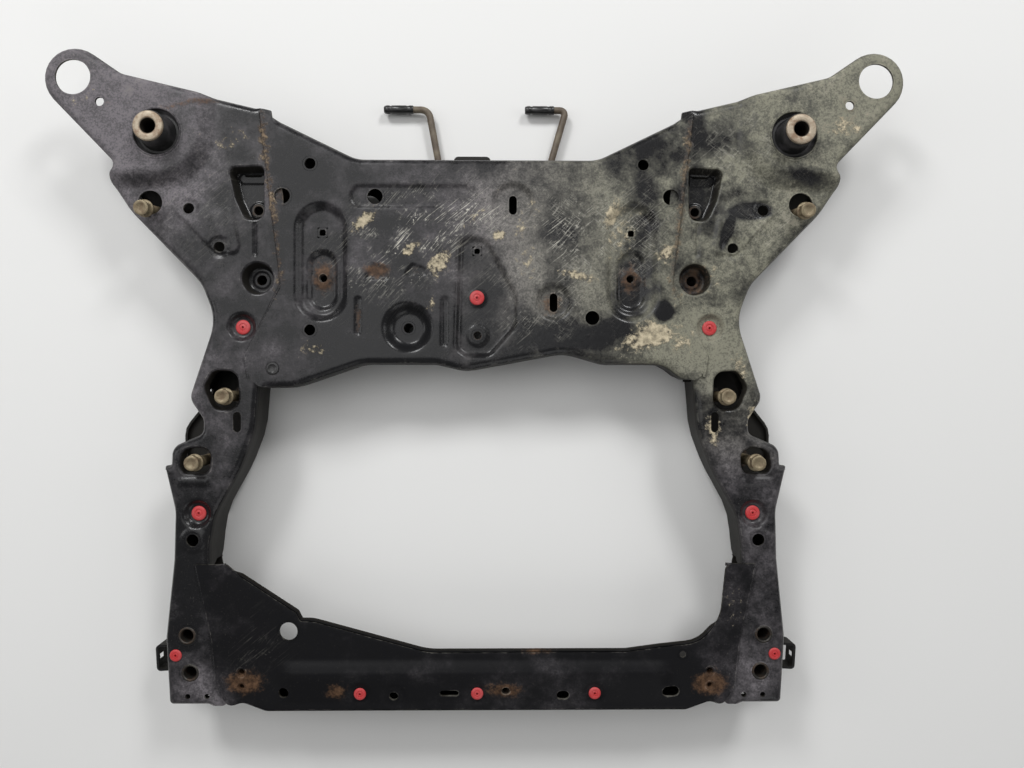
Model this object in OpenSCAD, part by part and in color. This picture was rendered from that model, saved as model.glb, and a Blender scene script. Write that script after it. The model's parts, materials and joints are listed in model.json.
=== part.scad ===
// Front suspension subframe of a car, pressed and welded from sheet steel.
// It lies with its underside up, on the upper ends of its body mounts.
// +X is the right-hand side as seen from below, +Y the rear of the car, +Z its underside.

/* [Sheet metal] */
// Thickness of the pressed sheets
sheet_t = 3; // [2.6:0.1:3.4]
// Outer radius of the bends along the edges
bend_r = 9; // [7:0.5:10]
// Depth of the flanges of the lower panels
flange_d = 25; // [20:1:32]
// Clearance between a flange and the wall that it laps
lap_gap = 0.3; // [0.2:0.05:0.5]
// Clearance round a tube, bush or bolt in its hole
seat_gap = 0.15; // [0.1:0.05:0.3]

/* [Levels] */
// Height of the box sections over both panels
box_h = 74; // [66:1:82]
// Height of the upper panels above the body mounts' ends
standoff = 14; // [13:0.5:18]
// Rise of the plateau that carries the rear bush and the ear
plateau_h = 12; // [8:1:15]

/* [Rear body mounts] */
// Distance of the rear bushes from the middle plane
bush_x = 402; // [396:1:406]
// Place of the rear bushes along the car
bush_y = 312.6; // [309:0.1:316]
// Outer radius of the bush's steel can
can_r = 31; // [29:0.5:33]
// Wall of the can
can_wall = 2.5; // [2:0.1:3]
// Outer radius of the inner sleeve
sleeve_r = 18.6; // [17.5:0.1:20]
// Radius of the sleeve's bore, for the body bolt
sleeve_bore_r = 9.25; // [8.25:0.05:10]
// How far the sleeve stands out of the plateau
sleeve_out = 24; // [18:1:28]
// Radius of the foot of the plateau's slope round the bush
slope_foot_r = 72; // [68:1:76]
// Radius of the head of that slope
slope_head_r = 43; // [40:1:48]

/* [Ears] */
// Distance of the ear loops from the middle plane
ear_x = 506; // [502:1:510]
// Place of the ear loops along the car
ear_y = 381; // [377:1:385]
// Outer radius of an ear loop
ear_r = 38; // [36:0.5:41]
// Radius of the hole in an ear loop
ear_hole_r = 22; // [20:0.5:25]

/* [Front body mounts] */
// Distance of the front collars from the middle plane
collar_x = 365; // [361:1:368]
// Place of the rearmost front collar
collar_rear_y = -323; // [-327:1:-319]
// Distance between the two front collars of one side
collar_pitch = 47; // [43:1:50]
// Bore radius of a front collar
collar_bore_r = 8.1; // [7.1:0.1:8.6]
// Outer radius of a front collar
collar_r = 11; // [10.4:0.1:12]

/* [Arm mounts] */
// Distance of the rear arm bolts from the middle plane
arm_rear_x = 414.6; // [412:0.1:417]
// Place of the rear arm bolts along the car
arm_rear_y = 226.6; // [224:0.1:228]
// Distance of the middle arm bolts from the middle plane
arm_mid_x = 317; // [315:0.5:319]
// Place of the middle arm bolts along the car
arm_mid_y = -19.3; // [-21:0.1:-17]
// Distance of the foremost arm bolts from the middle plane
arm_front_x = 354.8; // [353:0.1:357]
// Place of the foremost arm bolts along the car
arm_front_y = -102.6; // [-104:0.1:-101]
// Radius of the hole that the rear arm bolt leans in
arm_hole_r = 15.3; // [13:0.1:16]
// Thread diameter of the rear arm bolts
arm_rear_d = 12; // [10:1:14]
// Thread diameter of the front arm bolts
arm_front_d = 14; // [12:1:14]
// Width across the flats of the bolt heads
bolt_af = 17; // [15:0.5:19]
// Height of a bolt head with its flange
bolt_head_h = 13; // [10:0.5:15]
// Radius of the flange under a bolt head
bolt_flange_r = 11; // [10.5:0.1:12]
// How far the undersides of the heads stand out of the side panels
bolt_out = 6; // [3:0.5:10]

/* [Steering and stay mounts] */
// Distance of the steering gear's bolt seats from the middle plane
rack_x = 278.8; // [277:0.1:281]
// Place of the steering gear's bolt seats along the car
rack_y = 130.7; // [129:0.1:132]
// Radius of the recessed seat
rack_seat_r = 19.5; // [18:0.5:21]
// Depth of the recessed seat
rack_seat_d = 20; // [16:1:24]
// Bore radius of the steering gear's collars
rack_bore_r = 6.6; // [6:0.1:7.2]
// Place of the torque rod's bolt hole across the car
torque_x = -87.9; // [-90:0.1:-86]
// Place of the torque rod's bolt hole along the car
torque_y = 68.3; // [67:0.1:70]
// Bore radius of the torque rod's collar
torque_bore_r = 6.4; // [5.6:0.1:7]
// Wall of the steering and torque rod collars
tube_wall = 4; // [3:0.5:5]
// Distance of the stay nuts from the middle plane
stay_x = 197.5; // [194:0.5:200]
// Place of the stay nuts along the car
stay_y = 132.3; // [128:0.1:136]
// Bore radius of the weld nuts for the stays
nut_bore_r = 4.4; // [3.8:0.1:4.8]
// Distance of the stabiliser's weld nuts from the middle plane
stabiliser_x = 282.5; // [281:0.1:284]
// Place of the stabiliser's weld nuts along the car
stabiliser_y = 220.2; // [219:0.1:222]
// Depth of the stabiliser's pocket
pocket_d = 20; // [16:1:24]

/* [Front crossmember] */
// Y of the front edge of the front crossmember
front_y = -419; // [-422:1:-418]
// Y of the crease along the front crossmember
crease_y = -368; // [-371:1:-365]
// Rise of the crease over the panel
crease_h = 8; // [5:0.5:9]
// Length over which the crease runs out at each end
beam_end = 25; // [20:1:30]
// Half length of the creased beam
beam_x = 255; // [248:1:258]

/* [Cooler pipe] */
// Outer diameter of the pipe
pipe_d = 9.2; // [8:0.1:10]
// Outer diameter of the hose ends
hose_d = 11.6; // [10.6:0.1:12]
// Length of a hose end
hose_l = 40; // [36:1:44]

/* [Undertray plugs] */
// Head radius of a plug in a dished seat
plug_r = 9.4; // [8.6:0.1:10]
// Head radius of a plug on a flat face
plug_small_r = 7.7; // [7:0.1:8.2]
// Height of a plug's head
plug_h = 2.2; // [1.6:0.1:3]
// Stem radius of a plug
plug_stem_r = 4.2; // [3.6:0.1:4.6]

/* [Hidden] */
$fn = 64;
arc_step = 24;
bend_steps = 3;
far = 2000;
cut = 1;

// Outer faces of the panels
side_up_z = standoff;
inner_up_z = standoff + sheet_t;
panel_z = standoff + box_h;
side_z = panel_z - sheet_t;
plateau_z = side_z + plateau_h;
flange_z = side_z - flange_d;
wall_top_z = side_z - bend_r;

// Rear bush
can_in_r = can_r - can_wall;
sleeve_top = plateau_z + sleeve_out;

// Arm bolts
hex_r = bolt_af / sqrt(3);
head_z = side_z + bolt_out;
spacer_h = 10;
spacer_r = arm_rear_d / 2 + 5.5;
spacer_bore_r = arm_rear_d / 2 + 1.8;
rear_tip_z = inner_up_z + 1;
arm_lean = atan((arm_hole_r - arm_rear_d / 2 - 0.4) / (side_z - inner_up_z));
nut_h = 11;
front_nut_r = arm_front_d / 2 + 5;
front_tip_z = inner_up_z + 1;

// Plugs: hole, dish and place
plug_hole_r = plug_stem_r + seat_gap;
plug_dish = [19.5, 11.5, 7];
seat_a = [298.9, 68.8];
seat_b = [354.7, -168.6];
seat_corner = [380.9, -347.7];
seat_egg = [0, 106.7];
plug_front_x = [-147, 1, 150];
plug_front_y = front_y + 24;

// Round dish of the torque rod: outer radius, floor radius, depth
torque_dish = [34, 20, 9];
// Long dishes of the stays
stay_dish_d = 8;
stay_floor_d = 5;
// Egg-shaped dish between them
egg_d = 6;
// Shallow beads
bead_d = 3;
slot_dish_a = [45.7, 225.4, 30, 21];
slot_dish_b = [97.8, 100.9, 25, 17];

// Cooler pipe, in the gap over the rear upper panel
pipe_z = inner_up_z - pipe_d / 2 - 2.4;
hose_left = [-130, 373];
hose_right = [63, 373];
pipe_route = [
    [hose_left.x + hose_l, hose_left.y, 0],
    [-69, hose_left.y, 18],
    [-56.5, 306, 60],
    [-40, 180, 45],
    [78, 180, 45],
    [100, 306, 60],
    [119.5, hose_right.y, 14],
    [hose_right.x + hose_l, hose_right.y, 0]
];
clip_y = 262;
clip_legs = [2, 4];
clip_w = 14;

// Colours of the finishes
black_steel = [0.13, 0.135, 0.14];
shaded_steel = [0.10, 0.10, 0.10];
deep_black = [0.07, 0.07, 0.07];
worn_steel = [0.36, 0.31, 0.26];
bare_steel = [0.66, 0.58, 0.46];
rubber_black = [0.05, 0.05, 0.05];
zinc_brown = [0.55, 0.46, 0.30];

// Places of bolts, holes and small seats
arm_rear = [arm_rear_x, arm_rear_y];
arm_mid = [arm_mid_x, arm_mid_y];
arm_front = [arm_front_x, arm_front_y];
rack_seat = [rack_x, rack_y];
torque_rod = [torque_x, torque_y];
stabiliser = [stabiliser_x, stabiliser_y];
collars = [[collar_x + 2, collar_rear_y], [collar_x - 2, collar_rear_y - collar_pitch]];
corner_holes = [[366, front_y + 19], [341.7, front_y + 19]];
corner_hole_r = 3.4;
ear_pin = [ear_x - 33.5, ear_y - 31];
ear_pin_r = 5.6;
pad_hole_a = [366.2, 219.5];
pad_hole_b = [327.1, 170.2];
pad_hole_r = 7;
arm_pad_h = 2.5;
leg_hole = [359.8, -201.9];
leg_hole_r = 7.8;
stabiliser_bore_r = 6.6;
pocket_slot = [290, 266.3];
upper_hole_r = 9;
egg_nut = [0.6, 58.7];
// Plain holes as [x, y, radius]
rear_holes = [
    [-247, 235, 10], [247, 235, 10], [-211.8, 276.2, 7], [211.8, 276.2, 7],
    [-129.9, 235.3, 9.8], [-211.8, 65.1, 7], [147, 81, 9]
];
rear_upper_holes = [[-150, 235, 18], [150, 235, 18]];
front_holes = [
    [-243.8, plug_front_y + 0.8, 6.5], [247, plug_front_y + 1, 6.5],
    [-238, -316.8, 11.4], [262.8, -347.3, 4],
    [-297.7, front_y + 50.1, 3.5], [297.7, front_y + 50.1, 3.5],
    [-297.7, front_y + 31.8, 3], [297.7, front_y + 31.8, 3]
];
// Slots in the beam's face as [x, y, length, end radius]
beam_slots = [
    [-104.7, front_y + 20, 11, 5], [-34.3, plug_front_y, 20, 4], [109.7, front_y + 21, 15, 5.5]
];
// Square holes of the stay and egg dishes: y and width
stay_square = [190, 8];
egg_square = [166.6, 7];
leg_slot = [[304.4, -44], [304.4, -60], 5];
blind_hole = [-258.6, 16.3];
blind_r = 6;
front_nut = [37.2, front_y + 27];
stay_dish_y = 151.7;
stay_floor_y = 129;
front_end_x = 335;
front_box_y = -346;
front_step = 17;
// Foot and head of the outer wall of a front corner, and the bracket's place and size on it
corner_wall = [[collar_x + 26, front_y + 7], [collar_x + 31, -328]];
bracket_y = 52;
bracket_out = 28;
bracket_l = 34;
bracket_h = 26;
// Tab of the rear upper panel: corner, width, length and hole
tab_at = [-34, 258];
tab_w = 50;
tab_l = 49;
tab_hole_in = 11;
tab_hole_r = 4.5;
// Weld nuts: height and clearance of the pilot in the panel's hole
weld_nut_h = 9;
pilot_gap = 0.15;
clip_play = 0.25;

// Outlines as corners [x, y, corner radius], anticlockwise

// Rear edge of the side member, a straight line from the crossmember to the ear
rear_edge = [[262, 344], [bush_x + 47, bush_y + 75.4]];
function top_edge_y(x) =
    let (along = rear_edge[1] - rear_edge[0])
    rear_edge[0].y + (x - rear_edge[0].x) * along.y / along.x;

ear_arc = [for (a = [-42:12:126]) [ear_x + ear_r * cos(a), ear_y + ear_r * sin(a), 0]];

// Inner edge and front corner of a side member, up to the front arm's notch
side_front_run = [
    [rear_edge[0].x, rear_edge[0].y, 0],
    [247, 237, 0],
    [239, 112, 25],
    [272, 42, 40],
    [278, -13, 60],
    [282, -63, 80],
    [300, -111, 120],
    [333, -171, 60],
    [339, -208, 60],
    [339, -233, 30],
    [316, -293, 40],
    [316, front_y + 7, 16],
    concat(corner_wall[0], [18]),
    concat(corner_wall[1], [60]),
    [386, -228, 80],
    [384.5, -165, 60]
];
// Outer edge behind the notch
side_rear_run = [
    [334, 79, 60],
    [352, 125, 60],
    [441, 216, 100],
    [bush_x + 66, bush_y - 56, 18],
    [bush_x + 54, bush_y - 38, 10]
];
// The lower pressing is notched for the front arm, and the box under it is not
side_notch = [
    [398, -108, 0], [389.5, -107, 0], [388.5, -84, 16], [349, -67, 10], [349, -49, 12], [367, -22, 18]
];
side_box_notch = [[398, -108, 40], [399, -62, 30], [367, -22, 30]];

// The lower pressing runs out into the ear, and the box under it ends round the bush
side_corners = concat(
    side_front_run, side_notch, side_rear_run, ear_arc,
    [
        [bush_x + 47, top_edge_y(bush_x + 47), 30],
        [bush_x - slope_head_r, top_edge_y(bush_x - slope_head_r), 0],
        [bush_x - slope_foot_r, top_edge_y(bush_x - slope_foot_r), 0]
    ]
);
side_box_corners = concat(
    side_front_run, side_box_notch, side_rear_run,
    [[bush_x + 83.8, bush_y - 3, 24], [bush_x + 36, top_edge_y(bush_x + 36), 24]]
);

rear_corners = [
    [-275, 342, 0], [-248, 120, 14], [-296, 28, 30], [-282, -8.5, 24],
    [-232, -8.5, 80], [-145, 21.5, 60], [-52, 21.5, 40], [-15, 12.5, 60],
    [112, 36, 60], [162, 21.8, 50], [238, 21.8, 40], [262, 3, 18],
    [284, 1, 22], [296, 28, 30], [248, 120, 14], [275, 342, 0],
    [154, 283.5, 50], [-154, 283.5, 50]
];

front_corners = [
    [-355.5, -232, 0], [-335, -327, 60], [-329, -388, 40], [-315, front_y + 7, 12],
    [-296, front_y + 11, 20], [-beam_x - 12, front_y, 20],
    [beam_x + 12, front_y, 20], [298, front_y + 11, 20],
    [315, front_y + 7, 12], [329, -388, 40], [335, -327, 60], [355.5, -232, 0],
    [318, -232, 10], [311, -300, 40], [283, -331, 40], [235, -336, 30], [190, -342, 40],
    [-62, -342, 90], [-213, -297, 120], [-296, -237, 30], [-312, -232, 14]
];

// Zones where an edge is left flat, because another panel laps it
side_rear_lap = [
    [200, 360], [200, 0], [293, 0], [291, 40], [262, 112], [266, 237], [279, 330], [279, 360]
];
side_front_lap = [[296, -236], [296, -far], [337, -far], [337, -296], [352, -236]];
rear_lap = [[268, -40], [268, 18], [232, 118], [256, 330], [258, far], [400, far], [400, -40]];
front_lap = [[303, -200], [303, -far], [500, -far], [500, -200]];

// Zones where the side walls are open for the arms
arm_rear_open = [[338, 108], [372, 96], [500, 236], [478, 254], [448, 256], [392, 196]];
arm_front_open = [[336, -34], [356, -10], [410, -24], [410, -118], [384, -118], [372, -100], [336, -80]];

// Pressed forms as corner lists
stabiliser_pocket = [
    [stabiliser.x - 11, stabiliser.y + 53, 6],
    [stabiliser.x - 11, stabiliser.y - 14, 11],
    [stabiliser.x + 12, stabiliser.y - 14, 12],
    [stabiliser.x + 24, stabiliser.y + 12, 20],
    [stabiliser.x + 33, stabiliser.y + 51, 7]
];
arm_pad = [[311, 236, 10], [299, 172, 10], [303, 160, 10], [333, 160, 12], [384, 214, 12], [372, 238, 12]];
opening_a = [
    [arm_mid.x - 13, arm_mid.y + 32, 14], [arm_mid.x - 15, arm_mid.y - 17, 16],
    [arm_mid.x + 17, arm_mid.y - 17, 16], [arm_mid.x + 30, arm_mid.y + 12, 12],
    [arm_mid.x + 18, arm_mid.y + 33, 12]
];
opening_b = [
    [arm_front.x - 17, arm_front.y + 12, 12], [arm_front.x - 15, arm_front.y - 15, 10],
    [arm_front.x + 22, arm_front.y - 15, 10], [arm_front.x + 20, arm_front.y + 16, 14],
    [arm_front.x - 4, arm_front.y + 18, 14]
];
egg = [
    [-26, 178, 12], [-30, 40, 16], [-16, 29, 16], [18, 29, 18],
    [54, 70, 30], [54, 112, 40], [14, 184, 14], [-10, 187, 12]
];
d_recess_a = [[-146, 128, 5], [-110, 128, 5], [-112, 146, 10], [-132, 152, 6]];
d_recess_b = [[-96, 133, 4], [-62, 133, 4], [-64, 146, 8], [-84, 152, 6]];

// Plane geometry

function unit(v) = v / norm(v);
function left_of(u) = [-u.y, u.x];
function flat(p) = [p.x, p.y];

// Arc that rounds the corner q between its neighbours p and s
function corner(p, q, s) =
    let (
        u = unit(flat(q) - flat(p)),
        v = unit(flat(s) - flat(q)),
        turn = acos(max(-1, min(1, u * v))),
        side = u.x * v.y - u.y * v.x > 0 ? 1 : -1,
        room = 0.49 * min(norm(flat(q) - flat(p)), norm(flat(s) - flat(q))),
        back = min(q[2] * tan(turn / 2), room),
        radius = turn > 1 ? back / tan(turn / 2) : 0,
        centre = flat(q) - back * u + side * radius * left_of(u),
        steps = max(1, ceil(turn / arc_step))
    )
    q[2] == 0 || turn < 2 ? [flat(q)] : [
        for (k = [0:steps])
            let (a = side * turn * k / steps)
            centre - side * radius * (cos(a) * left_of(u) - sin(a) * u)
    ];

// Points of a corner list
function rounded(c) =
    let (n = len(c))
    [for (i = [0:n - 1]) each corner(c[(i + n - 1) % n], c[i], c[(i + 1) % n])];

// The same points moved inwards by d
function inset(pts, d) =
    let (n = len(pts))
    [
        for (i = [0:n - 1])
            let (
                a = left_of(unit(pts[i] - pts[(i + n - 1) % n])),
                b = left_of(unit(pts[(i + 1) % n] - pts[i]))
            )
            pts[i] + (a + b) * d / (1 + a * b)
    ];

// Points of a slot with round ends of radius r, from a to b
function slot(a, b, r) =
    let (u = unit(b - a), w = left_of(u), steps = 8)
    [
        for (end = [[b, 1], [a, -1]], k = [0:steps])
            let (t = 180 * k / steps - 90)
            end[0] + end[1] * r * (cos(t) * u + sin(t) * w)
    ];

function mirrored(pts) = [for (i = [len(pts) - 1:-1:0]) [-pts[i].x, pts[i].y]];

// Sheet forms

// Closed ring of sheet: each [inset, height, share of lift] of the section follows the outline
module ring(pts, section, lift = function(p) 0) {
    n = len(pts);
    m = len(section);
    points = [
        for (s = section)
            each [for (p = inset(pts, s[0])) [p.x, p.y, s[1] + (len(s) > 2 ? s[2] * lift(p) : 0)]]
    ];
    faces = [
        for (j = [0:m - 1], i = [0:n - 1])
            [j * n + i, j * n + (i + 1) % n, ((j + 1) % m) * n + (i + 1) % n, ((j + 1) % m) * n + i]
    ];
    polyhedron(points, faces);
}

module prism(pts, low, high) {
    translate([0, 0, low])
        linear_extrude(high - low)
            polygon(pts);
}

// Section of a bent edge with its face at z = 0 and its flange down to -depth
function rim(depth) =
    let (inner_r = bend_r - sheet_t)
    concat(
        [
            for (k = [0:bend_steps])
                let (a = 90 * k / bend_steps)
                [bend_r * (1 - sin(a)), bend_r * (cos(a) - 1), 1]
        ],
        [[0, -depth, 0], [sheet_t, -depth, 0]],
        [
            for (k = [0:bend_steps])
                let (a = 90 - 90 * k / bend_steps)
                [bend_r - inner_r * sin(a), inner_r * cos(a) - bend_r, 1]
        ]
    );

// Sheet inside the outline pts, flat at z = 0 over the second child and as the first child elsewhere
module lapped(pts, depth) {
    difference() {
        children(0);
        translate([0, 0, -depth - cut])
            linear_extrude(2 * depth)
                children(1);
    }
    translate([0, 0, -sheet_t])
        linear_extrude(sheet_t)
            intersection() {
                polygon(pts);
                children(1);
            }
}

// Tray with its face at z = 0 and a bent flange down to -depth; the child is where the edge stays flat
module tray(pts, depth) {
    lapped(pts, depth) {
        union() {
            prism(inset(pts, bend_r), -sheet_t, 0);
            ring(pts, rim(depth));
        }
        union()
            children();
    }
}

// Pressed form of height h, sunk where h is negative, with a sloping wall
module form(pts, h, draft) {
    ring(pts, [[0, 0], [0, -sheet_t], [draft, h - sheet_t], [draft, h]]);
    prism(inset(pts, draft), h - sheet_t, h);
}

// Round sunk form with the outer radius, floor radius and depth of d
module dish(d) {
    rotate_extrude()
        polygon([
            [0, -d[2]], [d[1], -d[2]], [d[0], 0], [d[0], -sheet_t],
            [d[1] + 0.4, -d[2] - sheet_t], [0, -d[2] - sheet_t]
        ]);
}

module drill(place, r, low = -far, high = far) {
    translate([place.x, place.y, low])
        cylinder(h = high - low, r = r);
}

module tube(r, bore, low, high) {
    translate([0, 0, low])
        difference() {
            cylinder(h = high - low, r = r);
            translate([0, 0, -cut])
                cylinder(h = high - low + 2 * cut, r = bore);
        }
}

module on_both_sides() {
    children();
    mirror([1, 0, 0])
        children();
}

// Open line of corners [x, y, radius]
function run(c) = [
    for (i = [0:len(c) - 1])
        each (i == 0 || i == len(c) - 1 ? [flat(c[i])] : corner(c[i - 1], c[i], c[i + 1]))
];

// Round bar of radius r along a flat line of points
module bar(pts, r, sides = 12) {
    n = len(pts);
    points = [
        for (i = [0:n - 1])
            let (w = left_of(unit(pts[min(i + 1, n - 1)] - pts[max(i - 1, 0)])))
            for (k = [0:sides - 1])
                let (a = 360 * k / sides)
                [pts[i].x + r * cos(a) * w.x, pts[i].y + r * cos(a) * w.y, r * sin(a)]
    ];
    walls = [
        for (i = [0:n - 2], k = [0:sides - 1])
            let (l = (k + 1) % sides)
            [i * sides + l, i * sides + k, (i + 1) * sides + k, (i + 1) * sides + l]
    ];
    start = [for (k = [0:sides - 1]) k];
    end = [for (k = [sides - 1:-1:0]) (n - 1) * sides + k];
    polyhedron(points, concat(walls, [start, end]));
}

// Side members

side_outline = rounded(side_corners);
side_box = inset(rounded(side_box_corners), sheet_t + lap_gap);
slope_w = slope_foot_r - slope_head_r;
slope_foot = rounded([
    [bush_x - slope_foot_r, bush_y - slope_foot_r, slope_foot_r],
    [bush_x + far, bush_y - slope_foot_r, 0], [bush_x + far, bush_y + far, 0],
    [bush_x - slope_foot_r, bush_y + far, 0]
]);

// Height of the slope over the side panel at the point p
function slope_lift(p) =
    let (
        q = [bush_x - p.x, bush_y - p.y],
        off = q.x > 0 && q.y > 0 ? norm(q) : max(q.x, q.y)
    )
    plateau_h * max(0, min(1, (slope_foot_r - off) / slope_w));

module side_laps() {
    polygon(side_rear_lap);
    polygon(side_front_lap);
}

// Lower side pressing with its two levels and the slope between them
module side_lower_sheet() {
    field = inset(side_outline, bend_r);
    lapped(side_outline, flange_d) {
        union() {
            ring(side_outline, rim(flange_d), function(p) slope_lift(p));
            difference() {
                prism(field, -sheet_t, 0);
                prism(slope_foot, -far, far);
            }
            intersection() {
                prism(field, plateau_h - sheet_t, plateau_h);
                prism(inset(slope_foot, slope_w), -far, far);
            }
            intersection() {
                ring(slope_foot, [
                    [0, 0], [0, -sheet_t], [slope_w, plateau_h - sheet_t], [slope_w, plateau_h]
                ]);
                prism(field, -far, far);
            }
        }
        side_laps();
    }
}

module side_lower() {
    low = side_z - sheet_t - cut;
    high = side_z + cut;
    color(black_steel)
        difference() {
            union() {
                difference() {
                    translate([0, 0, side_z])
                        side_lower_sheet();
                    prism(rounded(stabiliser_pocket), low, high);
                    prism(rounded(arm_pad), low, high);
                    drill(rack_seat, rack_seat_r, low, high);
                    drill(seat_a, plug_dish[0], low, high);
                    drill(seat_b, plug_dish[0], low, high);
                }
                translate([0, 0, side_z]) {
                    form(rounded(stabiliser_pocket), -pocket_d, 2);
                    form(rounded(arm_pad), arm_pad_h, 3);
                    translate(rack_seat)
                        dish([rack_seat_r, rack_seat_r - 2, rack_seat_d]);
                    translate(seat_a)
                        dish(plug_dish);
                    translate(seat_b)
                        dish(plug_dish);
                }
            }
            drill([bush_x, bush_y], can_r + seat_gap);
            drill([ear_x, ear_y], ear_hole_r);
            drill(ear_pin, ear_pin_r);
            drill(arm_rear, arm_hole_r);
            drill(pad_hole_a, pad_hole_r);
            drill(pad_hole_b, pad_hole_r);
            drill(stabiliser, stabiliser_bore_r);
            drill(rack_seat, rack_bore_r);
            for (p = [seat_a, seat_b, seat_corner])
                drill(p, plug_hole_r);
            drill(leg_hole, leg_hole_r);
            for (p = collars)
                drill(p, collar_r + seat_gap);
            for (p = corner_holes)
                drill(p, corner_hole_r);
            prism(rounded(opening_a), low, far);
            prism(rounded(opening_b), low, far);
            prism(slot(leg_slot[0], leg_slot[1], leg_slot[2]), low, far);
            prism(slot(pocket_slot - [9, 0], pocket_slot + [9, 0], 2.4), 0, far);
            prism(arm_rear_open, flange_z - cut, side_z - bend_r);
            prism(arm_front_open, flange_z - cut, side_z - bend_r);
        }
}

module right_side_lower_panel() {
    side_lower();
}

module left_side_lower_panel() {
    mirror([1, 0, 0])
        side_lower();
}

module side_upper() {
    color(shaded_steel)
        difference() {
            translate([0, 0, side_up_z])
                mirror([0, 0, 1])
                    tray(side_box, wall_top_z - side_up_z)
                        side_laps();
            drill([bush_x, bush_y], can_r + seat_gap);
            for (p = collars)
                drill(p, collar_r + seat_gap);
            drill(rack_seat, rack_bore_r);
            for (p = [arm_mid, arm_front])
                drill(p, arm_front_d / 2 + cut);
            drill(arm_rear, spacer_bore_r);
            drill(seat_a, upper_hole_r);
            drill(seat_b, upper_hole_r);
            prism(arm_rear_open, side_up_z + bend_r, far);
            prism(arm_front_open, side_up_z + bend_r, far);
        }
}

module right_side_upper_panel() {
    side_upper();
}

module left_side_upper_panel() {
    mirror([1, 0, 0])
        side_upper();
}

// Rear crossmember

rear_outline = rounded(rear_corners);
rear_box = inset(rear_outline, sheet_t + lap_gap);
stay_dish = slot([0, -42], [0, 42], 36);
stay_floor = slot([0, -19], [0, 19], 19);

module rear_laps() {
    polygon(rear_lap);
    polygon(mirrored(rear_lap));
}

module rear_lower_panel() {
    low = panel_z - sheet_t - cut;
    high = panel_z + cut;
    long_bead = slot([-147, 235], [-14, 235], 17);
    grooves = [
        slot([-151, 62], [-151, 104], 4),
        slot([-41, 48], [-41, 103], 5.5)
    ];
    shapes = concat(
        [long_bead, rounded(egg), rounded(d_recess_a), rounded(d_recess_b)],
        grooves
    );
    color(black_steel)
        difference() {
            union() {
                difference() {
                    translate([0, 0, panel_z])
                        tray(rear_outline, flange_d + sheet_t)
                            rear_laps();
                    for (s = shapes)
                        prism(s, low, high);
                    for (x = [-stay_x, stay_x])
                        translate([x, stay_dish_y])
                            prism(stay_dish, low, high);
                    drill(torque_rod, torque_dish[0], low, high);
                    drill(slot_dish_a, slot_dish_a[2], low, high);
                    drill(slot_dish_b, slot_dish_b[2], low, high);
                }
                translate([0, 0, panel_z]) {
                    form(long_bead, -bead_d, 4);
                    form(rounded(egg), -egg_d, 7);
                    form(rounded(d_recess_a), -bead_d, 3);
                    form(rounded(d_recess_b), -bead_d, 3);
                    for (g = grooves)
                        form(g, -bead_d, 2);
                    for (x = [-stay_x, stay_x])
                        translate([x, stay_dish_y])
                            stay_dish();
                    translate(torque_rod)
                        dish(torque_dish);
                    for (d = [slot_dish_a, slot_dish_b])
                        translate([d.x, d.y])
                            dish([d[2], d[3], bead_d + cut]);
                }
            }
            for (x = [-stay_x, stay_x]) {
                drill([x, stay_y], nut_bore_r + cut);
                translate([x, stay_square[0]])
                    square_hole(stay_square[1]);
            }
            for (h = rear_holes)
                drill(h, h[2]);
            drill(torque_rod, torque_bore_r);
            drill(seat_egg, plug_hole_r);
            drill(egg_nut, nut_bore_r + cut);
            translate([0, egg_square[0]])
                square_hole(egg_square[1]);
            drill(blind_hole, blind_r);
            for (d = [slot_dish_a, slot_dish_b])
                prism(slot([d.x, d.y - 7], [d.x, d.y + 7], 5), 0, far);
        }
}

// Long dish of a stay mount, with a deeper floor round its nut
module stay_dish() {
    difference() {
        form(stay_dish, -stay_dish_d, 11);
        translate([0, stay_floor_y - stay_dish_y])
            prism(stay_floor, -stay_dish_d - sheet_t - cut, -stay_dish_d + cut);
    }
    translate([0, stay_floor_y - stay_dish_y, -stay_dish_d])
        form(stay_floor, -stay_floor_d, 4);
}

module square_hole(w) {
    translate([-w / 2, -w / 2, 0])
        cube([w, w, far]);
}

module rear_upper_panel() {
    color(shaded_steel)
        difference() {
            translate([0, 0, inner_up_z])
                mirror([0, 0, 1])
                    tray(rear_box, wall_top_z - inner_up_z)
                        rear_laps();
            drill(torque_rod, torque_bore_r);
            for (x = [-stay_x, stay_x])
                drill([x, stay_y], upper_hole_r);
            drill(egg_nut, upper_hole_r);
            for (h = rear_upper_holes)
                drill(h, h[2]);
        }
}

// Front crossmember

front_outline = rounded(front_corners);
beam_rear_y = -354;
beam_front_y = front_y + bend_r + 2;
beam_tilt = atan(crease_h / (crease_y - beam_front_y));
front_flange_d = 36;
front_wall_top = panel_z - bend_r - 2 * sheet_t;

// Height of the beam's sloping face over the panel
function beam_z(y) = crease_h - (crease_y - y) * tan(beam_tilt);

module front_laps() {
    polygon(front_lap);
    polygon(mirrored(front_lap));
}

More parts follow.
